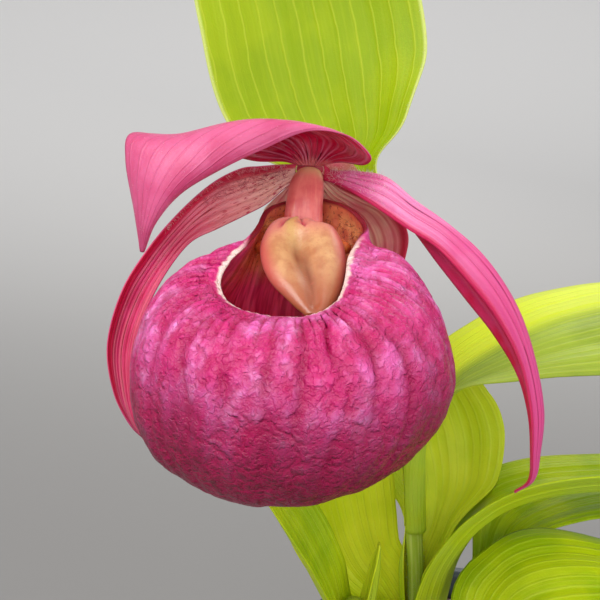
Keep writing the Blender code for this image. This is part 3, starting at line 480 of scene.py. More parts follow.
def pouch_surface(sides, rings, margin_rings):
    """The slipper as rings of points, with each ring's level and each side's angle in degrees.

    The level is 0 at the foot, 1 at the waist, 2 on the crest of the shoulder and 3 at the edge.
    """
    read = np.array([(angle, *crest, *crest_way, *edge, *edge_way)
                     for angle, crest, crest_way, edge, edge_way in POUCH_MOUTH])
    read[:, 0] += 360.0 * np.arange(len(read)) / len(read)
    places = np.arange(sides) / sides
    read = flow(read, places, closed=True)
    degrees = read[:, 0] - 360.0 * places
    angle = np.radians(degrees)
    crest, crest_way, edge, edge_way = read[:, 1:4], unit(read[:, 4:7]), read[:, 7:10], unit(read[:, 10:13])
    waist = np.stack([POUCH_HALF_WIDTH * np.cos(angle), POUCH_HALF_DEPTH * np.sin(angle), 0 * angle], axis=1)
    result = []
    for slope in np.linspace(math.radians(-88), 0, rings):
        low = np.array([math.cos(slope), math.cos(slope), 1.0])
        result.append(waist * low + np.array([0, 0, POUCH_DROP * math.sin(slope)]))
    rise = np.array([0, 0, 1.0])
    reach = np.linalg.norm(crest - waist, axis=1, keepdims=True)
    for share in np.linspace(0, 1, rings)[1:]:
        pull = crest_way * reach * 0.36
        result.append(bezier(waist, waist + rise * reach * 0.36, crest - pull, crest, share))
    reach = np.linalg.norm(edge - crest, axis=1, keepdims=True)
    for share in np.linspace(0, 1, margin_rings)[1:]:
        pull = edge_way * reach * 0.3
        result.append(bezier(crest, crest + crest_way * reach * 0.36, edge - pull, edge, share))
    surface = np.array(result)
    surface[..., 0] += POUCH_LEAN * np.minimum(surface[..., 2], 0.0)
    levels = np.concatenate([np.linspace(0, 1, rings), np.linspace(1, 2, rings)[1:],
                             np.linspace(2, 3, margin_rings)[1:]])
    return surface + np.array(POUCH_CENTRE + FLOWER), levels, degrees


def body_rings(stations, facing, rows, sides, section, origin):
    """Rings round a fleshy body; section shapes each ring from its place and its angles."""
    table = [(*centre, wide, thick) for centre, wide, thick in stations]
    places = np.linspace(0, 1, rows)
    read = flow(table, places)
    centre = read[:, 0:3]
    along = unit(np.gradient(centre, axis=0))
    across = unit(np.cross(along, np.broadcast_to(facing, centre.shape)))
    up = np.cross(across, along)
    angles = -2 * math.pi * np.arange(sides) / sides
    side, lift = section(places[:, None], angles[None, :])
    side = side * read[:, 3:4]
    lift = lift * read[:, 4:5]
    centre = centre[:, None] + np.array(origin)
    return centre + side[..., None] * across[:, None] + lift[..., None] * up[:, None]


def round_section(places, angles):
    """A plain ellipse."""
    return np.cos(angles) + 0 * places, np.sin(angles) + 0 * places


def ribbed_section(places, angles):
    """An ellipse with six low ribs."""
    radius = 1 + OVARY_RIB * np.cos(6 * angles) * smoothstep(0.0, 0.15, places)
    return radius * np.cos(angles), radius * np.sin(angles)


def furrowed_section(places, angles):
    """The column: an ellipse with a shallow furrow down its face."""
    furrow = 0.16 * np.exp(-((np.cos(angles) / 0.35) ** 2)) * smoothstep(0.15, 0.6, places)
    lift = np.where(np.sin(angles) > 0, np.sin(angles) * (1 - furrow), np.sin(angles))
    return np.cos(angles) + 0 * places, lift


def lobed_section(places, angles):
    """Two full lobes with a groove between them on the upper side."""
    side = np.sign(np.cos(angles)) * np.abs(np.cos(angles)) ** 0.85
    gap = side - groove_middle(places)
    groove = STAMINODE_GROOVE * np.exp(-((gap * 7.0 / STAMINODE_GROOVE_WIDTH) ** 2))
    valley = VALLEY_DEPTH * np.exp(-((gap / VALLEY_WIDTH) ** 2))
    groove = (0.7 * groove + valley) * smoothstep(1.02, 0.85, places) * smoothstep(0.1, 0.45, places)
    lift = np.where(np.sin(angles) > 0, np.sin(angles) * (1 - groove), 0.7 * np.sin(angles))
    return side + 0 * places, lift + 0 * places


def groove_middle(places):
    """Where the shield's groove lies across it, from left of the middle at its top to the middle."""
    return 0.22 * smoothstep(0.75, 0.1, places)


# Meshes and pieces


def normals(grid, wraps=False):
    """The way that each point of a surface faces."""
    along = np.gradient(grid, axis=0)
    if wraps:
        across = np.roll(grid, -1, axis=1) - np.roll(grid, 1, axis=1)
    else:
        across = np.gradient(grid, axis=1)
    return unit(np.cross(across, along))


def weave(rows, columns, wraps):
    """The quads over a grid of points, and each corner's place across and along it."""
    steps = columns if wraps else columns - 1
    both = np.meshgrid(np.arange(rows - 1), np.arange(steps), indexing="ij")
    row, column = (index.ravel() for index in both)
    corners = ((0, 0), (0, 1), (1, 1), (1, 0))
    faces = np.stack([(row + r) * columns + (column + c) % columns for r, c in corners], axis=1)
    across = np.stack([(column + c) / steps for r, c in corners], axis=1)
    along = np.stack([(row + r) / (rows - 1) for r, c in corners], axis=1)
    return faces, np.stack([across, along], axis=2)


def mesh_from(name, points, faces, places, slots, marks=None):
    """A smooth mesh; places holds each corner's UV, slots each face's material and marks point values."""
    mesh = bpy.data.meshes.new(name)
    mesh.from_pydata((points * MM).tolist(), [], faces)
    layer = mesh.uv_layers.new(name="UVMap")
    layer.data.foreach_set("uv", np.concatenate([np.asarray(p, dtype=float).ravel() for p in places]))
    mesh.polygons.foreach_set("material_index", slots)
    for mark, values in (marks or {}).items():
        made = mesh.attributes.new(mark, "FLOAT", "POINT")
        made.data.foreach_set("value", np.asarray(values, dtype=np.float32))
    mesh.shade_smooth()
    return mesh


def margin_loop(rows, columns, wraps):
    """The points round a grid's open margin, in the order that its faces run."""
    if wraps:
        ring = [(rows - 1) * columns + column for column in range(columns - 1, -1, -1)]
        return ring + ring[:1]
    low = list(range(columns))
    right = [row * columns + columns - 1 for row in range(1, rows)]
    high = [(rows - 1) * columns + column for column in range(columns - 2, -1, -1)]
    left = [row * columns for row in range(rows - 2, -1, -1)]
    return low + right + high + left


def sheet_mesh(name, grid, thickness, wraps=False, marks=None):
    """A closed thin sheet: upper face in slot 0, lower in slot 1; a wrapped one closes at its foot."""
    rows, columns = grid.shape[:2]
    count = rows * columns
    lift = normals(grid, wraps) * (np.broadcast_to(thickness, (rows, columns)) / 2)[..., None]
    points = [(grid + lift).reshape(-1, 3), (grid - lift).reshape(-1, 3)]
    quads, corners = weave(rows, columns, wraps)
    faces = quads.tolist() + (quads[:, ::-1] + count).tolist()
    places = [corners, corners[:, ::-1]]
    slots = [0] * len(quads) + [1] * len(quads)
    steps = columns if wraps else columns - 1
    loop = margin_loop(rows, columns, wraps)
    for one, two in zip(loop, loop[1:]):
        faces.append((two, one, one + count, two + count))
        at = [((k % columns) / steps, (k // columns) / (rows - 1)) for k in (two, one, one, two)]
        places.append(at)
        slots.append(0)
    if wraps:
        points.append(grid[0].mean(axis=0)[None] + lift[0].mean(axis=0)[None])
        points.append(grid[0].mean(axis=0)[None] - lift[0].mean(axis=0)[None])
        for column in range(columns):
            beside = (column + 1) % columns
            faces.append((beside, column, 2 * count))
            faces.append((column + count, beside + count, 2 * count + 1))
            places.append([(0, 0)] * 6)
            slots.extend([0, 1])
    extra = 2 if wraps else 0
    doubled = {mark: np.concatenate([values.ravel(), values.ravel(), [0.0] * extra])
               for mark, values in (marks or {}).items()}
    return mesh_from(name, np.concatenate(points), faces, places, slots, doubled)


def body_mesh(name, grid, marks=None):
    """A closed fleshy body over rings of points."""
    rows, columns = grid.shape[:2]
    quads, corners = weave(rows, columns, True)
    faces = quads.tolist()
    places = [corners]
    ends = np.stack([grid[0].mean(axis=0), grid[-1].mean(axis=0)])
    count = rows * columns
    for column in range(columns):
        beside = (column + 1) % columns
        last = (rows - 1) * columns
        faces.append((beside, column, count))
        faces.append((last + column, last + beside, count + 1))
        places.append([(column / columns, 0)] * 3 + [(column / columns, 1)] * 3)
    capped = {mark: np.concatenate([values.ravel(), [values[0].mean(), values[-1].mean()]])
              for mark, values in (marks or {}).items()}
    points = np.concatenate([grid.reshape(-1, 3), ends])
    return mesh_from(name, points, faces, places, [0] * len(faces), capped)


def placed(name, data):
    """A new object in the scene."""
    obj = bpy.data.objects.new(name, data)
    bpy.context.scene.collection.objects.link(obj)
    return obj


def piece(mesh, finishes, slot, *nodes):
    """A shown piece, named as its mesh, which rides on the frame and stands for its nodes."""
    obj = placed(mesh.name, mesh)
    for finish in finishes:
        mesh.materials.append(finish)
    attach(obj, "root")
    if nodes:
        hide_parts(*nodes)
    return obj


def scatter(grid, count, along, across, seed, spread):
    """Random roots on a surface between two places along it and across it, and the way each hair leaves."""
    draw = np.random.default_rng(seed)
    rows, columns = grid.shape[:2]
    row = draw.uniform(*along, count) * (rows - 1)
    column = draw.uniform(*across, count) * (columns - 1)
    r = row.astype(int).clip(0, rows - 2)
    c = column.astype(int).clip(0, columns - 2)
    down = (row - r)[:, None] * (grid[r + 1, c] - grid[r, c])
    over = (column - c)[:, None] * (grid[r, c + 1] - grid[r, c])
    return grid[r, c] + down + over, unit(normals(grid)[r, c] + draw.normal(0, spread, (count, 3)))


def hair_mesh(name, roots, ways, length, radius, seed):
    """Tapered three-sided hairs that bend as they rise, as one mesh."""
    draw = np.random.default_rng(seed)
    count = len(roots)
    size = (length * draw.uniform(0.55, 1.15, count))[:, None]
    side = unit(np.cross(ways, unit(draw.normal(size=(count, 3)))))
    other = np.cross(ways, side)
    bend = side * draw.normal(0, HAIR_CURL, (count, 1)) + other * draw.normal(0, HAIR_CURL, (count, 1))
    points = np.zeros((count, 7, 3))
    for level, (reach, wide) in enumerate(((-0.1, 1.0), (0.55, 0.7))):
        centre = roots + (ways * reach + bend * reach * abs(reach)) * size
        for corner in range(3):
            turn = 2 * math.pi * corner / 3
            out = side * math.cos(turn) + other * math.sin(turn)
            points[:, level * 3 + corner] = centre + out * radius * wide
    points[:, 6] = roots + (ways + bend) * size
    pattern = [(a, (a + 1) % 3, (a + 1) % 3 + 3, a + 3) for a in range(3)]
    pattern += [(a + 3, (a + 1) % 3 + 3, 6) for a in range(3)]
    faces = [tuple(base + k for k in face) for base in range(0, 7 * count, 7) for face in pattern]
    heights = (0.0, 0.0, 0.0, 0.55, 0.55, 0.55, 1.0)
    corner_places = [(0.5, heights[k]) for face in pattern for k in face]
    return mesh_from(name, points.reshape(-1, 3), faces, [corner_places * count], [0] * len(faces))


def lump_mesh(name, places, sizes, seed, roundness):
    """Many irregular lumps as one mesh; places are their middles and sizes their three half sizes."""
    draw = np.random.default_rng(seed)
    ball = bmesh.new()
    bmesh.ops.create_icosphere(ball, subdivisions=2, radius=1.0)
    shape = np.array([v.co for v in ball.verts])
    corners = np.array([[v.index for v in f.verts] for f in ball.faces])
    ball.free()
    shape = np.sign(shape) * np.abs(shape) ** roundness
    points, faces = [], []
    for number, (place, size) in enumerate(zip(places, sizes)):
        rough = 1 + draw.normal(0, 0.09, (len(shape), 1))
        turn = np.linalg.qr(draw.normal(size=(3, 3)))[0]
        turn[:, 2] = unit(turn[:, 2] * 0.5 + np.array([0.0, 0.0, 1.2]))
        turn[:, 0] = unit(np.cross(turn[:, 1], turn[:, 2]))
        turn[:, 1] = np.cross(turn[:, 2], turn[:, 0])
        points.append((shape * rough * size) @ turn.T + place)
        faces.append(corners + number * len(shape))
    faces = np.concatenate(faces)
    flat = [[(0.0, 0.0)] * (3 * len(faces))]
    tone = np.repeat(draw.uniform(0, 1, len(places)), len(shape))
    return mesh_from(name, np.concatenate(points), faces.tolist(), flat, [0] * len(faces), {"tone": tone})


# Finishes


def screen(red, green, blue):
    """A colour as it looks on a screen, each part 0 to 255, as linear light."""
    share = np.array([red, green, blue]) / 255
    linear = np.where(share <= 0.04045, share / 12.92, ((share + 0.055) / 1.055) ** 2.4)
    return (*linear.tolist(), 1.0)


RIM_CREAM = screen(246, 214, 206)
SEAM_CRIMSON = screen(120, 10, 30)


class Paint:
    """A Principled material whose nodes are added one by one."""

    def __init__(self, name, rough=0.5, glow=0.0, glow_depth=1.2, gloss=0.5, coat=0.0):
        self.material = bpy.data.materials.new(name)
        self.material.use_nodes = True
        self.tree = self.material.node_tree
        self.shader = self.tree.nodes["Principled BSDF"]
        self.shader.inputs["Roughness"].default_value = rough
        self.shader.inputs["Specular IOR Level"].default_value = gloss
        self.shader.inputs["Subsurface Weight"].default_value = glow
        self.shader.inputs["Subsurface Scale"].default_value = glow_depth * MM
        self.shader.inputs["Subsurface Radius"].default_value = GLOW_SPREAD
        self.shader.inputs["Coat Weight"].default_value = coat
        self.shader.inputs["Coat Roughness"].default_value = COAT_ROUGHNESS
        where = self.add("TexCoord")
        self.solid = where["Object"]
        split = self.add("SeparateXYZ", {"Vector": where["UV"]})
        self.across, self.along = split["X"], split["Y"]
        self.colour = None

    def add(self, kind, inputs=None, **settings):
        """A new node's outputs; its inputs take sockets or values."""
        made = self.tree.nodes.new("ShaderNode" + kind)
        for key, value in settings.items():
            setattr(made, key, value)
        for key, value in (inputs or {}).items():
            if isinstance(value, bpy.types.NodeSocket):
                self.tree.links.new(value, made.inputs[key])
            else:
                made.inputs[key].default_value = value
        return made.outputs

    def mark(self, name):
        """A value that the mesh carries at its points."""
        return self.add("Attribute", attribute_name=name)["Fac"]

    def sum(self, one, two, operation="ADD"):
        """Two values added, or put together by another operation."""
        return self.add("Math", {0: one, 1: two}, operation=operation)[0]

    def span(self, value, low, high, least=0.0, most=1.0):
        """Goes gently from least where value is low to most where it is high."""
        inputs = {"Value": value, "From Min": low, "From Max": high, "To Min": least, "To Max": most}
        return self.add("MapRange", inputs, interpolation_type="SMOOTHSTEP")[0]

    def blot(self, size, detail=3.0):
        """Soft random patches about size millimetres wide."""
        inputs = {"Vector": self.solid, "Scale": 1 / (size * MM), "Detail": detail}
        return self.add("TexNoise", inputs)["Fac"]

    def strands(self, count, long, detail=2.0):
        """Random streaks along the piece, count of them across it."""
        place = self.add("CombineXYZ", {"X": self.sum(self.across, count, "MULTIPLY"),
                                        "Y": self.sum(self.along, long, "MULTIPLY")})[0]
        return self.add("TexNoise", {"Vector": place, "Scale": 1.0, "Detail": detail})["Fac"]

    def net(self, size, bend=0.5):
        """1 on the lines of a random net whose meshes are about size millimetres wide, falling to 0."""
        inputs = {"Vector": self.solid, "Scale": 1.5 / (size * MM), "Detail": 2.0}
        shift = self.add("TexNoise", inputs)["Color"]
        shift = self.add("VectorMath", {0: shift, 1: (-0.5, -0.5, -0.5)}, operation="ADD")[0]
        shift = self.add("VectorMath", {0: shift, "Scale": size * MM * bend * 2}, operation="SCALE")[0]
        place = self.add("VectorMath", {0: self.solid, 1: shift}, operation="ADD")[0]
        inputs = {"Vector": place, "Scale": 1 / (size * MM)}
        cells = self.add("TexVoronoi", inputs, feature="DISTANCE_TO_EDGE")
        return self.span(cells["Distance"], 0.28, 0.0)

    def lines(self, count, width):
        """1 on count wavering lines that run along the piece, falling to 0 between them."""
        shift = self.sum(self.blot(9.0, 2.0), VEIN_WANDER, "MULTIPLY")
        place = self.sum(self.sum(self.across, count, "MULTIPLY"), shift)
        middle = self.sum(self.sum(place, 1.0, "FRACT"), 0.5, "SUBTRACT")
        return self.span(self.sum(middle, 0.0, "ABSOLUTE"), width, 0.0)

    def mix(self, share, one, two):
        """One colour going over to another as share goes from 0 to 1."""
        inputs = {"Factor": share, 6: one, 7: two}
        return self.add("Mix", inputs, data_type="RGBA")[2]

    def both(self, one, two):
        """Two shares multiplied."""
        return self.sum(one, two, "MULTIPLY")

    def base(self, share, one, two):
        """Starts the colour: one going over to another."""
        self.colour = self.mix(share, one, two)

    def lay(self, share, colour, strength=1.0):
        """Lays a colour over what is there, as far as share goes, at most to strength."""
        if strength < 1.0:
            share = self.both(share, strength)
        self.colour = self.mix(share, self.colour, colour)

    def relief(self, height, depth, under=None):
        """Bumps of depth millimetres."""
        inputs = {"Height": height, "Distance": depth * MM, "Strength": 1.0}
        if under is not None:
            inputs["Normal"] = under
        return self.add("Bump", inputs)["Normal"]

    def done(self, normal=None):
        """The material with its colour and this relief."""
        self.tree.links.new(self.colour, self.shader.inputs["Base Color"])
        if normal is not None:
            self.tree.links.new(normal, self.shader.inputs["Normal"])
        return self.material


def blade_finish(name, face, shade, vein, veins, width=0.2, strength=0.6, root=None, reach=0.3, tip=None,
                 band=None, band_at=(0.0, 0.0), edge=None, spots=None, streak=0.35, fibre=0.05, rough=0.45,
                 gloss=0.5, patch=7.0):
    """The finish of a leaf, sepal or petal.

    face is mottled with shade and lined with vein; root tints its start as far as reach, tip its end,
    band one side of it, edge its very margin, and spots are the colour of dots near its root.
    """
    paint = Paint(name, rough=rough, glow=0.25, gloss=gloss)
    paint.base(paint.span(paint.blot(patch, 3.0), 0.38, 0.64), face, shade)
    lines = paint.lines(veins, width)
    fine = paint.strands(veins * 5, 4.0)
    paint.lay(paint.span(fine, 0.45, 0.7), vein, streak)
    if tip is not None:
        paint.lay(paint.span(paint.along, 0.25, 0.6), tip)
    if root is not None:
        paint.lay(paint.span(paint.along, reach, reach * 0.2), root)
    paint.lay(lines, vein, strength)
    if spots is not None:
        dots = paint.span(paint.strands(veins * 3, 34.0, 1.0), 0.56, 0.68)
        near = paint.span(paint.along, 0.5, 0.2)
        paint.lay(paint.both(dots, near), spots)
    if band is not None:
        paint.lay(paint.span(paint.across, *band_at), band)
    if edge is not None:
        middle = paint.sum(paint.sum(paint.across, 0.5, "SUBTRACT"), 0.0, "ABSOLUTE")
        paint.lay(paint.span(middle, 0.478, 0.496), edge)
    bumps = paint.relief(lines, fibre * 1.6)
    bumps = paint.relief(fine, fibre, bumps)
    bumps = paint.relief(paint.blot(0.5, 2.0), fibre, bumps)
    return paint.done(bumps)


def leaf_finish(name, face, shade, vein, veins, gloss=0.2, **details):
    """A blade's finish, dull and in wide patches."""
    return blade_finish(name, face, shade, vein, veins, gloss=gloss, patch=16.0, **details)


def lip_outside():
    """Magenta with painted highlights, a deeper crimson foot that is partly painted shade, a fine dark net,
    darker grooves, painted shade in the puckers' hollows and a cream rim.
    """
    paint = Paint("lip_outside", rough=0.4, glow=0.15, glow_depth=1.2, gloss=0.35)
    # Painted highlights: broad paler patches over the magenta, and brighter spots laid on them.
    patches = paint.span(paint.sum(paint.blot(9.0), paint.strands(38.0, 4.0)), 0.85, 1.2)
    paint.base(patches, screen(210, 44, 122), screen(234, 108, 184))
    painted_highlight = paint.both(paint.span(paint.blot(2.6, 4.0), 0.44, 0.68), paint.span(patches, 0.2, 1.0, 0.2, 0.7))
    paint.lay(painted_highlight, screen(246, 156, 216))
    # The foot's deeper crimson is partly the lip's own colour and partly painted shade.
    paint.lay(paint.mark("foot"), screen(108, 0, 38))
    fine = paint.net(1.7, 0.7)
    broad = paint.both(paint.net(5.0, 0.9), paint.span(paint.blot(6.0), 0.4, 0.55))
    paint.lay(fine, screen(184, 10, 92), 0.36)
    paint.lay(broad, screen(168, 6, 72), 0.5)
    paint.lay(paint.mark("groove"), screen(150, 2, 66))
    # Painted shade in the sunken half of each pucker under the rim.
    pucker = paint.both(paint.mark("pucker"), paint.span(paint.blot(5.0), 0.35, 0.6, 0.25, 0.8))
    paint.lay(pucker, screen(160, 8, 60))
    paint.lay(paint.mark("rim"), RIM_CREAM)
    paint.lay(paint.mark("seam"), SEAM_CRIMSON)
    bumps = paint.relief(paint.sum(1.0, fine, "SUBTRACT"), 0.14)
    bumps = paint.relief(paint.sum(1.0, broad, "SUBTRACT"), 0.25, bumps)
    bumps = paint.relief(paint.blot(0.4, 2.0), 0.08, bumps)
    return paint.done(bumps)


def lip_inside():
    """Crimson with fine lines towards the rim, and tan-orange on the inner back with dark specks."""
    paint = Paint("lip_inside", rough=0.5, glow=0.8, glow_depth=3.0)
    lines = paint.strands(170.0, 5.0, 2.0)
    paint.base(paint.span(lines, 0.35, 0.65), screen(172, 10, 84), screen(228, 60, 130))
    back = paint.mix(paint.span(paint.blot(3.0), 0.3, 0.7), screen(226, 150, 92), screen(200, 104, 70))
    specks = paint.span(paint.strands(210.0, 60.0, 1.0), 0.6, 0.7)
    back = paint.mix(paint.both(specks, 0.7), back, screen(96, 24, 20))
    paint.lay(paint.mark("back"), back, 0.9)
    paint.lay(paint.mark("rim_inside"), RIM_CREAM)
    paint.lay(paint.mark("seam"), SEAM_CRIMSON)
    return paint.done(paint.relief(lines, 0.12))


def staminode_finish():
    """Tan lobes with pink sides and top, yellow-green above the groove, brown in it, with painted shade
    along the valley between the lobes and towards the tip.
    """
    paint = Paint("staminode", rough=0.3, glow=0.35, glow_depth=1.5, coat=0.3)
    paint.base(paint.span(paint.blot(3.0), 0.35, 0.7), screen(218, 168, 118), screen(194, 132, 88))
    paint.lay(paint.mark("side"), screen(208, 98, 92))
    paint.lay(paint.mark("top"), screen(230, 138, 132), 0.75)
    # Painted shade along the sunken valley between the lobes.
    paint.lay(paint.mark("valley"), screen(176, 96, 66), 0.55)
    paint.lay(paint.mark("crown"), screen(206, 178, 92), 0.65)
    paint.lay(paint.mark("notch"), screen(196, 50, 84))
    paint.lay(paint.mark("groove"), screen(126, 60, 34), 0.9)
    # Painted shade: darker towards the tip.
    paint.lay(paint.span(paint.along, 0.5, 0.9), screen(176, 98, 66))
    specks = paint.both(paint.span(paint.blot(0.5), 0.55, 0.7), 0.3)
    paint.lay(specks, screen(196, 104, 84))
    return paint.done(paint.relief(paint.blot(0.5, 2.0), 0.06))


def column_finish():
    """Salmon pink, pale yellow at its top, with a fine grain."""
    paint = Paint("column", rough=0.36, glow=0.4, glow_depth=2.0, coat=0.15)
    paint.base(paint.span(paint.blot(2.5), 0.35, 0.7), screen(224, 116, 110), screen(208, 88, 90))
    paint.lay(paint.span(paint.along, 0.34, 0.12), screen(236, 202, 146))
    fine = paint.strands(30.0, 5.0)
    paint.lay(paint.span(fine, 0.5, 0.7), screen(234, 150, 130), 0.4)
    return paint.done(paint.relief(fine, 0.06))


def plain_finish(name, one, two, size, rough=0.5, glow=0.2, depth=0.06):
    """Two colours in patches of a size, with a fine grain of that size."""
    paint = Paint(name, rough=rough, glow=glow)
    patches = paint.blot(size, 4.0)
    paint.base(paint.span(patches, 0.36, 0.66), one, two)
    return paint.done(paint.relief(paint.blot(size * 0.3, 3.0), depth))


def stem_finish(name, one, two, line, turns=0.55):
    """One colour going over to another at a place along it, with long pale lines."""
    paint = Paint(name, rough=0.45, glow=0.25)
    fine = paint.strands(22.0, 6.0)
    paint.base(paint.span(paint.along, turns - 0.25, turns + 0.25), one, two)
    paint.lay(paint.span(fine, 0.45, 0.65), line, 0.6)
    return paint.done(paint.relief(fine, 0.12))


def lump_finish(name, dark, light, speck):
    """Lumps that differ in tone, with fine specks."""
    paint = Paint(name, rough=0.9)
    paint.base(paint.mark("tone"), dark, light)
    paint.lay(paint.span(paint.blot(0.8, 4.0), 0.5, 0.7), speck, 0.6)
    return paint.done(paint.relief(paint.blot(0.9, 5.0), 0.35))


def pot_finish():
    """Blue-grey moulded plastic, faintly grained, dusty and with dried drops low down."""
    paint = Paint("pot_plastic", rough=0.42)
    paint.base(paint.span(paint.blot(26.0, 5.0), 0.35, 0.7), screen(62, 70, 78), screen(78, 87, 95))
    dust = paint.both(paint.span(paint.blot(3.0, 5.0), 0.6, 0.75), 0.35)
    paint.lay(dust, screen(136, 138, 134))
    rub = paint.both(paint.span(paint.along, 0.30, 0.36), paint.span(paint.blot(2.2, 3.0), 0.5, 0.62))
    paint.lay(rub, screen(120, 126, 130), 0.2)
    bumps = paint.relief(paint.blot(0.6, 2.0), 0.03)
    return paint.done(paint.relief(paint.blot(14.0, 2.0), 0.25, bumps))


# Leaves, sepals and petals


def taper(rows, columns, sheet):
    """A sheet's thickness: full in the middle, thin at its margins."""
    middle, margin = sheet
    across = np.abs(np.linspace(-1, 1, columns))
    return np.broadcast_to(middle + (margin - middle) * smoothstep(0.8, 1.0, across), (rows, columns))


def make_leaf(name, stations, upper, lower, grid_size=LEAF_GRID, sheet=LEAF_SHEET, slot="leaf"):
    """A fine leaf over its solid; gives its surface."""
    grid = leaf_surface(stations, *grid_size, PLEAT_DEPTH)
    mesh = sheet_mesh(name + "_blade", grid, taper(*grid_size, sheet))
    piece(mesh, (upper, lower), slot, name)
    return grid


def make_tepal(name, stations, outer, inner, ridges, depth, ridge_reach=1.0):
    """A fine sepal or petal over its solid, with low ridges along it; gives its surface."""
    rows, columns = TEPAL_GRID
    grid = tepal_surface(stations, rows, columns)
    across = np.linspace(-1, 1, columns)
    along = np.linspace(0, 1, rows)
    fade = smoothstep(0.0, 0.12, along) * smoothstep(ridge_reach, ridge_reach * 0.6, along)
    shift = 0.6 * waver(along * 4, len(name))[:, None]
    ridge = np.cos(math.pi * ridges * across[None] + shift) * (1 - np.abs(across[None]) ** 4)
    grid = grid + normals(grid) * (depth * fade[:, None] * ridge)[..., None]
    mesh = sheet_mesh(name + "_blade", grid, taper(rows, columns, TEPAL_SHEET))
    piece(mesh, (outer, inner), "tepal", name)
    return grid


# The lip


def groove_share(degrees, levels):
    """How deep each point of the lip lies in a groove, 0 to 1."""
    total = np.zeros((len(levels), len(degrees)))
    draw = np.random.default_rng(GROOVE_SEED)
    for number, centre in enumerate(LIP_GROOVES):
        wander = LIP_GROOVE_WANDER * waver(levels * 1.3, GROOVE_SEED + 1 + number)
        branch = wander + LIP_GROOVE_BRANCH * draw.choice((-1, 1)) * smoothstep(1.75, 0.4, levels)
        for path, most in ((wander, draw.uniform(0.55, 1.0)), (branch, draw.uniform(0.1, 0.5))):
            depth = most * (0.65 + 0.35 * waver(levels * 2.6, GROOVE_DEPTH_SEED + number))
            gap = (degrees[None] - centre - path[:, None] + 180) % 360 - 180
            total = np.maximum(total, depth[:, None] * np.exp(-((gap / LIP_GROOVE_WIDTH) ** 2)))
    fade = smoothstep(0.2, 0.8, levels) * smoothstep(2.5, 2.0, levels)
    return np.clip(total, 0, 1) * fade[:, None]


def crinkle(point):
    """How far the lip's skin stands out at a point."""
    stretched = Vector((point.x, point.y, 0.6 * point.z))
    return noise.noise(stretched / 5.0) + 0.4 * noise.noise(point / 2.0) + 0.15 * noise.noise(point)


def lip_marks(levels, turn, groove, pucker, front):
    """Where the lip's grooves, puckers, rim, seam, inner back and foot lie, 0 to 1 at each point."""
    height = levels[:, None]
    behind = smoothstep(0.25, 0.6, np.sin(turn))[None]
    return {
        "groove": groove,
        # pucker: the sunken half of each pucker, which takes painted shade.
        "pucker": np.clip(-pucker, 0, 1) * front[None] + 0 * height,
        "rim": smoothstep(2.68, 2.82, height + 0.09 * waver(turn * 8, 12, 9)[None]) * (1 - behind),
        "rim_inside": smoothstep(2.84, 2.95, height) * (1 - behind),
        "seam": smoothstep(2.86, 2.95, height) * behind,
        "back": smoothstep(1.5, 1.9, height) * smoothstep(0.6, 0.84, np.sin(turn))[None],
        # foot: painted shade on the lip's foot, over its own deeper crimson there.
        "foot": smoothstep(1.6, 0.6, height + 0.1 * waver(turn * 3, 13)[None]),
    }


def make_lip():
    """The slipper: swollen between its grooves, puckered below its rim, with a thicker pale rim."""
    grid, levels, degrees = pouch_surface(LIP_SIDES, LIP_RINGS, LIP_MARGIN_RINGS)
    inward = normals(grid, wraps=True)
    groove = groove_share(degrees, levels)
    turn = np.radians(degrees)
    swell = np.array([[crinkle(Vector(point)) for point in row] for row in grid])
    body = smoothstep(0.0, 0.4, levels) * smoothstep(2.6, 2.2, levels)
    front = smoothstep(0.35, -0.2, np.sin(turn))
    low = smoothstep(1.45, 1.95, levels) * smoothstep(2.75, 2.35, levels)
    beat = LIP_PUCKERS * turn + 3.0 * waver(turn, 7, 9)
    pucker = np.cos(beat[None] + 2.0 * (levels[:, None] - 2)) * low[:, None] * (0.35 + 0.65 * front[None])
    push = LIP_GROOVE_DEPTH * groove - LIP_SWELL * swell * body[:, None] - LIP_PUCKER_DEPTH * pucker
    grid = grid + inward * push[..., None]
    crimp = LIP_CRIMP * waver(turn * 9, 11, 12) * smoothstep(2.5, 3.0, levels)[:, None]
    grid[..., 2] += crimp * (0.4 + 0.6 * front[None])
    bead = smoothstep(2.55, 2.85, levels) * smoothstep(3.05, 2.95, levels)
    thickness = np.broadcast_to((LIP_SHEET + (LIP_BEAD - LIP_SHEET) * bead)[:, None], grid.shape[:2])
    marks = lip_marks(levels, turn, groove, pucker, front)
    mesh = sheet_mesh("lip_pouch", grid, thickness, wraps=True, marks=marks)
    piece(mesh, (lip_inside(), lip_outside()), "lip", "lip")
    return grid


# The column


def make_column():
    """The column, with a furrow down its face."""
    grid = body_rings(COLUMN, COLUMN_FACING, *BODY_GRID, furrowed_section, FLOWER)
    piece(body_mesh("column_body", grid), (column_finish(),), "column", "column")


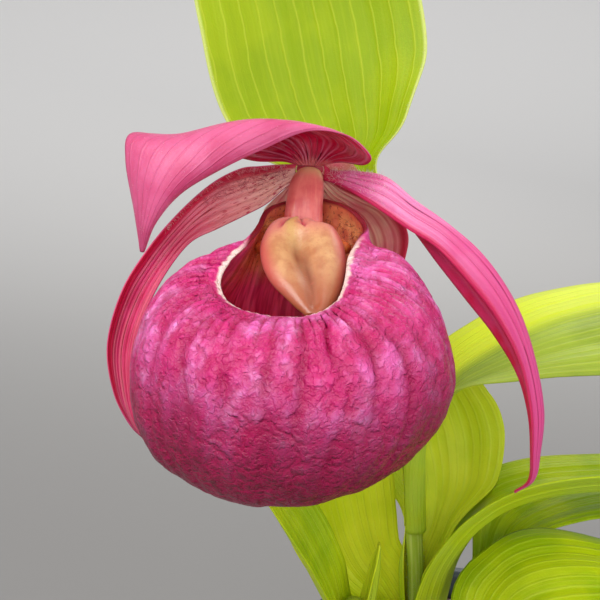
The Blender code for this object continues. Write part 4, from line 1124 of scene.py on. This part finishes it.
def make_staminode():
    """The column's shield: two lobes with a groove between them and two notches at its top."""
    rows, sides = BODY_GRID
    places = np.linspace(0, 1, rows)[:, None]
    angles = -2 * math.pi * np.arange(sides)[None] / sides
    grid = body_rings(STAMINODE, COLUMN_FACING, rows, sides, lobed_section, FLOWER)
    side, lift = np.cos(angles), np.sin(angles)
    face = smoothstep(0.0, 0.4, lift)
    gap = side - groove_middle(places)
    beside = np.exp(-(((np.abs(gap) - NOTCH_APART) / NOTCH_WIDTH) ** 2))
    notch = NOTCH_DEPTH * beside * smoothstep(0.3, 0.06, places) * smoothstep(-0.2, 0.3, lift)
    grid = grid + notch[..., None] * NOTCH_WAY
    marks = {
        "side": smoothstep(0.55, 0.97, np.abs(side)) + 0 * places,
        "top": smoothstep(0.42, 0.12, places) + 0 * side,
        "crown": face * np.exp(-((gap / 0.2) ** 2)) * smoothstep(0.5, 0.2, places),
        "notch": face * beside * smoothstep(0.2, 0.07, places),
        "groove": face * np.exp(-((gap / 0.11) ** 2)) * smoothstep(0.26, 0.5, places),
        "valley": face * np.exp(-((gap / 0.34) ** 2)) * smoothstep(0.3, 0.7, places),
    }
    piece(body_mesh("staminode_body", grid, marks), (staminode_finish(),), "staminode", "staminode")


def make_stigma_and_anthers():
    """The stigma under the shield, and an anther on each side of the column."""
    pale = plain_finish("stigma_flesh", screen(212, 160, 104), screen(186, 116, 66), 1.5, 0.35, 0.35)
    grid = body_rings(STIGMA, COLUMN_FACING, *STIGMA_GRID, round_section, FLOWER)
    piece(body_mesh("stigma_body", grid), (pale,), "stigma", "stigma")
    orange = plain_finish("anther_flesh", screen(220, 110, 50), screen(186, 70, 34), 1.0, glow=0.3)
    anther_left = mirrored(ANTHER_RIGHT, COLUMN_MIDDLE)
    for name, stations in (("anther_right", ANTHER_RIGHT), ("anther_left", anther_left)):
        grid = body_rings(stations, COLUMN_FACING, *ANTHER_GRID, round_section, FLOWER)
        piece(body_mesh(name + "_body", grid), (orange,), "anther", name)


def mirrored(stations, middle):
    """The same stations on the other side of a plane across X."""
    return tuple(((2 * middle - x, y, z), wide, thick) for (x, y, z), wide, thick in stations)


# The whole flower


def make_tepals():
    """The sepals and petals; gives the surfaces that carry hairs."""
    pink, rose, crimson = screen(218, 96, 144), screen(210, 64, 120), screen(204, 6, 66)
    dark, cream, blush = screen(160, 0, 46), screen(250, 206, 180), screen(240, 152, 156)
    outside = blade_finish("dorsal_outside", pink, screen(206, 74, 124), screen(196, 58, 112), 9,
                           width=0.14, strength=0.2, streak=0.2)
    # The pale lines on its inside are painted highlights on its wrinkles, which are also raised as ridges.
    inside = blade_finish("dorsal_inside", screen(218, 10, 78), screen(186, 0, 56),
                          screen(248, 140, 178), 15, width=0.26, strength=0.5, root=screen(206, 84, 80),
                          reach=0.08, rough=0.24, streak=0.2, fibre=0.12)
    dorsal = make_tepal("dorsal_sepal", DORSAL_SEPAL, outside, inside, 12, 0.26, 0.5)
    outside = blade_finish("petal_left_outside", screen(220, 76, 120), rose, dark, 9, strength=0.5)
    inside = blade_finish("petal_left_inside", screen(222, 56, 116), screen(206, 34, 96), blush, 11,
                          strength=0.35, root=screen(255, 202, 188), reach=0.52, band=crimson,
                          band_at=(0.3, 0.12), spots=screen(190, 20, 64))
    left = make_tepal("petal_left", PETAL_LEFT, outside, inside, 8, 0.16)
    inside = blade_finish("petal_right_inside", screen(212, 50, 110), crimson, rose, 9, strength=0.4)
    outside = blade_finish("petal_right_outside", screen(232, 132, 182), screen(220, 92, 152),
                           screen(190, 44, 100), 9, width=0.16, strength=0.55, root=screen(208, 24, 80),
                           reach=0.16, tip=screen(212, 70, 134), band=screen(202, 34, 90),
                           band_at=(0.07, 0.02))
    right = make_tepal("petal_right", PETAL_RIGHT, inside, outside, 9, 0.2)
    inside = blade_finish("synsepal_inside", cream, blush, screen(200, 60, 80), 13, width=0.26, strength=0.7,
                          band=screen(190, 30, 66), band_at=(0.1, 0.03))
    outside = blade_finish("synsepal_outside", blush, cream, screen(196, 60, 92), 13)
    make_tepal("synsepal", SYNSEPAL, inside, outside, 13, 0.18)
    return dorsal, left, right


def make_ovary():
    """The ribbed ovary between the stem and the flower; gives its surface."""
    grid = body_rings(OVARY, COLUMN_FACING, *OVARY_GRID, ribbed_section, FLOWER)
    flesh = stem_finish("ovary_flesh", screen(120, 150, 40), screen(204, 50, 88), screen(214, 120, 110),
                        turns=0.35)
    piece(body_mesh("ovary_body", grid), (flesh,), "stem", "ovary")
    return grid


def make_flower():
    """The sepals, petals, lip, column, ovary and their hairs."""
    dorsal, left, right = make_tepals()
    lip = make_lip()
    make_column()
    make_staminode()
    make_stigma_and_anthers()
    ovary = make_ovary()
    make_flower_hairs(dorsal, left, right, lip, ovary)


def make_flower_hairs(dorsal, left, right, lip, ovary):
    """Pale down on the tepals' bases and margins, crimson hairs on the left petal, dark ones in the lip."""
    pale = plain_finish("pale_down", screen(246, 214, 214), screen(240, 190, 196), 2.0, glow=0.3)
    red = plain_finish("crimson_hair", screen(200, 60, 96), screen(170, 30, 66), 2.0)
    dark = plain_finish("brown_hair", screen(110, 40, 30), screen(80, 20, 20), 2.0, glow=0.1)
    # Each patch: its name, surface, number of hairs, reach along and across the surface, side of it (1 for
    # the upper face), hair length and radius, finish and slot.
    patches = (
        ("left_petal_hair", left, 420, (0.06, 0.4), (0.05, 0.5), -1, 1.7, 0.035, red, "tepal"),
        ("left_petal_down", left, 260, (0.05, 0.5), (0.0, 0.06), -1, 1.1, 0.03, pale, "tepal"),
        ("right_petal_down", right, 420, (0.03, 0.26), (0.05, 0.6), -1, 1.5, 0.03, pale, "tepal"),
        ("right_petal_fringe", right, 260, (0.25, 0.6), (0.9, 1.0), -1, 1.3, 0.03, pale, "tepal"),
        ("dorsal_down", dorsal, 700, (0.05, 0.95), (0.0, 1.0), 1, 0.6, 0.025, pale, "tepal"),
        ("lip_hair", lip[LIP_HAIR_RING:], 460, (0.0, 0.7), (0.42, 0.64), 1, 1.8, 0.035, dark, "lip"),
        ("ovary_down", ovary, 500, (0.0, 0.95), (0.0, 1.0), 1, 0.7, 0.03, pale, "stem"),
    )
    for seed, (name, grid, count, along, across, face, length, radius, finish, slot) in enumerate(patches):
        roots, ways = scatter(grid, count, along, across, HAIR_ROOT_SEED + seed, 0.45)
        mesh = hair_mesh(name, roots, ways * face, length, radius, HAIR_SHAPE_SEED + seed)
        piece(mesh, (finish,), slot)


# Leaves and stems


def make_leaves():
    """Every leaf and the bract, with the down on the bract's margins."""
    bright, mid, deep = screen(212, 222, 40), screen(178, 198, 10), screen(146, 176, 4)
    pale, lime, olive = screen(200, 216, 76), screen(206, 220, 44), screen(134, 156, 44)
    # Lit and shaded copies of one leaf green: the bright one is painted light for leaves that glow with
    # light through them, the deep one painted shade.
    painted_backlit = leaf_finish("leaf_painted_backlit", bright, screen(196, 212, 24), pale, 17, strength=0.2, streak=0.18)
    shaded = leaf_finish("leaf_deep", mid, deep, pale, 17, strength=0.22, streak=0.16)
    under = leaf_finish("leaf_under", screen(172, 196, 50), mid, pale, 17, strength=0.25, streak=0.2,
                        gloss=0.3, rough=0.6)
    # Painted light and shade on one leaf: the lime band stands for its far half lit from behind, the olive
    # for its half in shade.
    painted_backlight_band = leaf_finish("leaf_painted_backlight_band", olive, screen(152, 174, 52), pale, 19, strength=0.25,
                            streak=0.18, band=lime, band_at=(0.52, 0.36))
    leaves = (
        ("leaf_a1", LEAF_A1, shaded), ("leaf_a2", LEAF_A2, painted_backlit), ("leaf_a3", LEAF_A3, painted_backlit),
        ("leaf_a4", LEAF_A4, painted_backlight_band), ("leaf_b1", LEAF_B1, shaded), ("leaf_b2", LEAF_B2, painted_backlit),
        ("leaf_c1", LEAF_C1, shaded), ("leaf_c2", LEAF_C2, shaded),
    )
    for name, stations, upper in leaves:
        make_leaf(name, stations, upper, under)
    front = leaf_finish("bract_front", screen(156, 180, 0), screen(142, 170, 0), screen(188, 204, 50), 12,
                        width=0.09, strength=0.5, streak=0.12, edge=screen(204, 218, 120))
    back = leaf_finish("bract_back", screen(150, 182, 20), mid, screen(190, 208, 76), 12, width=0.12,
                       strength=0.4, streak=0.2, gloss=0.3, rough=0.6)
    grid = make_leaf("bract", BRACT, front, back, BRACT_GRID, BRACT_SHEET, "bract")
    down = plain_finish("bract_down", screen(236, 240, 200), screen(220, 230, 170), 2.0, glow=0.3)
    for seed, across in enumerate(((0.0, 0.015), (0.985, 1.0))):
        roots, ways = scatter(grid, 420, (0.2, 1.0), across, BRACT_DOWN_SEED + seed, 0.9)
        name = f"bract_margin_down_{seed + 1}"
        mesh = hair_mesh(name, roots, ways, 0.8, 0.025, BRACT_DOWN_SEED + 10 + seed)
        piece(mesh, (down,), "bract")


def make_stems():
    """The three stems and the down on the flowering one."""
    green = stem_finish("stem_flesh", screen(158, 182, 44), screen(186, 204, 66), screen(206, 218, 120))
    down = plain_finish("stem_down", screen(226, 232, 190), screen(206, 216, 150), 2.0, glow=0.3)
    stems = (("stem_a", STEM_A, STEM_RADIUS), ("stem_b", STEM_B, YOUNG_STEM_RADIUS),
             ("stem_c", STEM_C, YOUNG_STEM_RADIUS))
    for name, points, radius in stems:
        stations = [(point, radius, radius) for point in points]
        grid = body_rings(stations, STEM_FACING, *STEM_GRID, round_section, (0.0, 0.0, 0.0))
        piece(body_mesh(name + "_stalk", grid), (green,), "stem", name)
        if name == "stem_a":
            roots, ways = scatter(grid, 900, (0.2, 0.98), (0.0, 1.0), STEM_DOWN_SEED, 0.4)
            mesh = hair_mesh("stem_a_down", roots, ways, 0.8, 0.03, STEM_DOWN_SEED + 1)
            piece(mesh, (down,), "stem")


# The pot


def inner_radius(height):
    """The inside radius of the pot at a height."""
    slope = (POT_TOP_RADIUS - POT_FOOT_RADIUS) / POT_HEIGHT
    return POT_FOOT_RADIUS + slope * height - POT_WALL


def rounded(profile, radius):
    """The same profile with each inner corner rounded."""
    result = [profile[0]]
    for before, here, after in zip(profile, profile[1:], profile[2:]):
        before, here, after = (np.array(p, dtype=float) for p in (before, here, after))
        reach = min(radius, 0.45 * np.linalg.norm(before - here), 0.45 * np.linalg.norm(after - here))
        start = here + unit(before - here) * reach
        end = here + unit(after - here) * reach
        for share in np.linspace(0, 1, CORNER_STEPS + 1):
            result.append(tuple((1 - share) ** 2 * start + 2 * share * (1 - share) * here + share**2 * end))
    result.append(profile[-1])
    return result


def make_pot():
    """The pot, turned finely with softened corners, and its drain holes."""
    outer = inner_radius(POT_HEIGHT - RIM_DROP) + POT_WALL
    profile = rounded((
        (0.0, POT_FLOOR), (inner_radius(POT_FLOOR), POT_FLOOR),
        (inner_radius(POT_HEIGHT - 1.0), POT_HEIGHT - 1.0), (inner_radius(POT_HEIGHT) + 0.9, POT_HEIGHT),
        (POT_TOP_RADIUS + RIM_LIP - 0.8, POT_HEIGHT), (POT_TOP_RADIUS + RIM_LIP, POT_HEIGHT - 0.9),
        (outer + RIM_LIP + 0.6, POT_HEIGHT - RIM_DROP), (outer, POT_HEIGHT - RIM_DROP - 0.6),
        (POT_FOOT_RADIUS + 0.3, 1.6), (POT_FOOT_RADIUS - 1.0, 0.0), (0.0, 0.0),
    ), 0.6)
    turn = 2 * math.pi * np.arange(POT_SIDES) / POT_SIDES
    grid = np.array([[(radius * math.cos(t), radius * math.sin(t), height) for t in turn]
                     for radius, height in profile[1:-1]])
    shell = piece(body_mesh("pot_shell", grid[:, ::-1]), (pot_finish(),), "pot", "pot")
    drill = drill_mesh()
    boolean = shell.modifiers.new("Drain", "BOOLEAN")
    boolean.object = drill
    shaped = bpy.data.meshes.new_from_object(shell.evaluated_get(bpy.context.evaluated_depsgraph_get()))
    shell.modifiers.clear()
    shell.data = shaped
    bpy.data.objects.remove(drill)


def drill_mesh():
    """One object that holds a cutter for each drain hole."""
    shape = bmesh.new()
    for hole in range(DRAIN_HOLES):
        turn = 2 * math.pi * (hole + 0.5) / DRAIN_HOLES
        made = bmesh.ops.create_cone(shape, cap_ends=True, segments=DRAIN_SIDES, depth=4 * POT_FLOOR * MM,
                                     radius1=DRAIN_RADIUS * MM, radius2=DRAIN_RADIUS * MM)
        shift = Vector((DRAIN_CIRCLE * math.cos(turn), DRAIN_CIRCLE * math.sin(turn), 0.0)) * MM
        bmesh.ops.translate(shape, verts=made["verts"], vec=shift)
    mesh = bpy.data.meshes.new("drill")
    shape.to_mesh(mesh)
    shape.free()
    return placed("drill", mesh)


# The soil


def soil_height(x, y):
    """The soil's uneven top."""
    lumps = noise.noise(Vector((x / 9.0, y / 9.0, 3.0))) + 0.5 * noise.noise(Vector((x / 4.0, y / 4.0, 8.0)))
    return SOIL_TOP + SOIL_RELIEF * lumps


def soil_places(count, seed, margin):
    """Random places on the soil, clear of the shoots."""
    draw = np.random.default_rng(seed)
    edge = inner_radius(SOIL_TOP) - margin
    found = []
    while len(found) < count:
        x, y = draw.uniform(-edge, edge, 2)
        clear = all(math.hypot(x - at[0], y - at[1]) > radius + 0.4 * margin for at, radius in SHOOTS)
        if math.hypot(x, y) < edge and clear:
            found.append((x, y, soil_height(x, y)))
    return np.array(found)


def make_soil():
    """Bark, grit and moss over the plain fill."""
    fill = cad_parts["soil"]
    fill.data.materials.clear()
    fill.data.materials.append(plain_finish("soil_fill", screen(70, 50, 40), screen(110, 84, 70), 2.0,
                                            rough=0.95, glow=0.0, depth=0.5))
    draw = np.random.default_rng(SOIL_SEED)
    bark = soil_places(BARK_COUNT, SOIL_SEED + 1, 3.0)
    half = draw.uniform(BARK_SMALL, BARK_LARGE, (BARK_COUNT, 3))
    bark[:, 2] += BARK_RISE
    tan = lump_finish("bark", screen(92, 62, 50), screen(176, 138, 118), screen(60, 40, 34))
    piece(lump_mesh("bark_chips", bark, half, SOIL_SEED + 2, 0.72), (tan,), "soil")
    grit = soil_places(GRIT_COUNT, SOIL_SEED + 3, 1.2)
    half = draw.uniform(GRIT_SMALL, GRIT_LARGE, (GRIT_COUNT, 1)) * draw.uniform(0.8, 1.2, (GRIT_COUNT, 3))
    grit[:, 2] += GRIT_RISE
    grey = lump_finish("grit", screen(120, 112, 108), screen(206, 196, 186), screen(84, 76, 70))
    piece(lump_mesh("grit_grains", grit, half, SOIL_SEED + 4, 0.9), (grey,), "soil")
    make_moss(draw)


def make_moss(draw):
    """Cushions of short moss between the chips."""
    moss = plain_finish("moss", screen(70, 96, 24), screen(38, 62, 14), 1.0, rough=0.8, depth=0.1)
    roots = np.repeat(soil_places(MOSS_CUSHIONS, SOIL_SEED + 5, 5.0), MOSS_BLADES, axis=0)
    roots = roots + draw.normal(0, MOSS_SPREAD, roots.shape) * (1, 1, 0.1)
    roots = roots[np.hypot(roots[:, 0], roots[:, 1]) < inner_radius(SOIL_TOP) - 1.0]
    ways = unit(draw.normal(0, 0.5, roots.shape) + (0, 0, 1))
    piece(hair_mesh("moss_tufts", roots, ways, 2.4, 0.16, SOIL_SEED + 6), (moss,), "soil")


# The stage, the lights and the camera


def make_sweep():
    """The pale paper that the pot stands on and that curves up behind it, with painted shade near the pot
    going over to painted light far behind.
    """
    turns = np.linspace(0, math.pi / 2, 24)
    line = [(SWEEP_FRONT, 0.0)]
    line += [(SWEEP_BACK + SWEEP_RADIUS * math.sin(t), SWEEP_RADIUS * (1 - math.cos(t))) for t in turns]
    line += [(SWEEP_BACK + SWEEP_RADIUS, SWEEP_HEIGHT)]
    grid = np.array([[(x, y, z) for x in (-SWEEP_HALF_WIDTH, SWEEP_HALF_WIDTH)] for y, z in line])
    faces, places = weave(*grid.shape[:2], False)
    mesh = mesh_from("sweep", grid.reshape(-1, 3), faces.tolist(), [places], [0] * len(faces))
    paint = Paint("sweep_paper_painted_falloff", rough=0.9, gloss=0.1)
    rise = paint.add("SeparateXYZ", {"Vector": paint.solid})["Y"]
    # Painted light and shade: darker near the pot, brighter far behind it.
    paint.base(paint.span(rise, *SWEEP_TURNS), SWEEP_NEAR_PAINTED_SHADE, SWEEP_FAR_PAINTED_LIGHT)
    mesh.materials.append(paint.done())
    placed("sweep", mesh)


def lamp(name, place, size, power, colour):
    """A soft square light that points at the flower."""
    light = bpy.data.lights.new(name, "AREA")
    light.size = size
    light.energy = power
    light.color = colour
    obj = placed(name, light)
    obj.location = place
    obj.rotation_euler = (FLOWER * MM - Vector(place)).to_track_quat("-Z", "Y").to_euler()


def make_light():
    """A large soft light above on the left, others to the right, behind and in front, and the room."""
    for settings in LAMPS:
        lamp(*settings)
    world = bpy.data.worlds.new("room")
    world.use_nodes = True
    world.node_tree.nodes["Background"].inputs["Color"].default_value = ROOM_COLOUR
    world.node_tree.nodes["Background"].inputs["Strength"].default_value = ROOM_POWER
    bpy.context.scene.world = world


def make_camera():
    """The camera that the photograph was matched with."""
    camera = bpy.data.cameras.new("camera")
    camera.lens = CAMERA_LENS
    camera.clip_start = 0.01
    obj = placed("camera", camera)
    obj.location = Vector(CAMERA_PLACE) * MM
    obj.rotation_euler = (math.radians(90 - CAMERA_DIP), 0.0, 0.0)
    bpy.context.scene.camera = obj


make_camera()
make_light()
make_sweep()
make_pot()
make_soil()
make_stems()
make_leaves()
make_flower()
bpy.context.scene.view_settings.view_transform = "Standard"
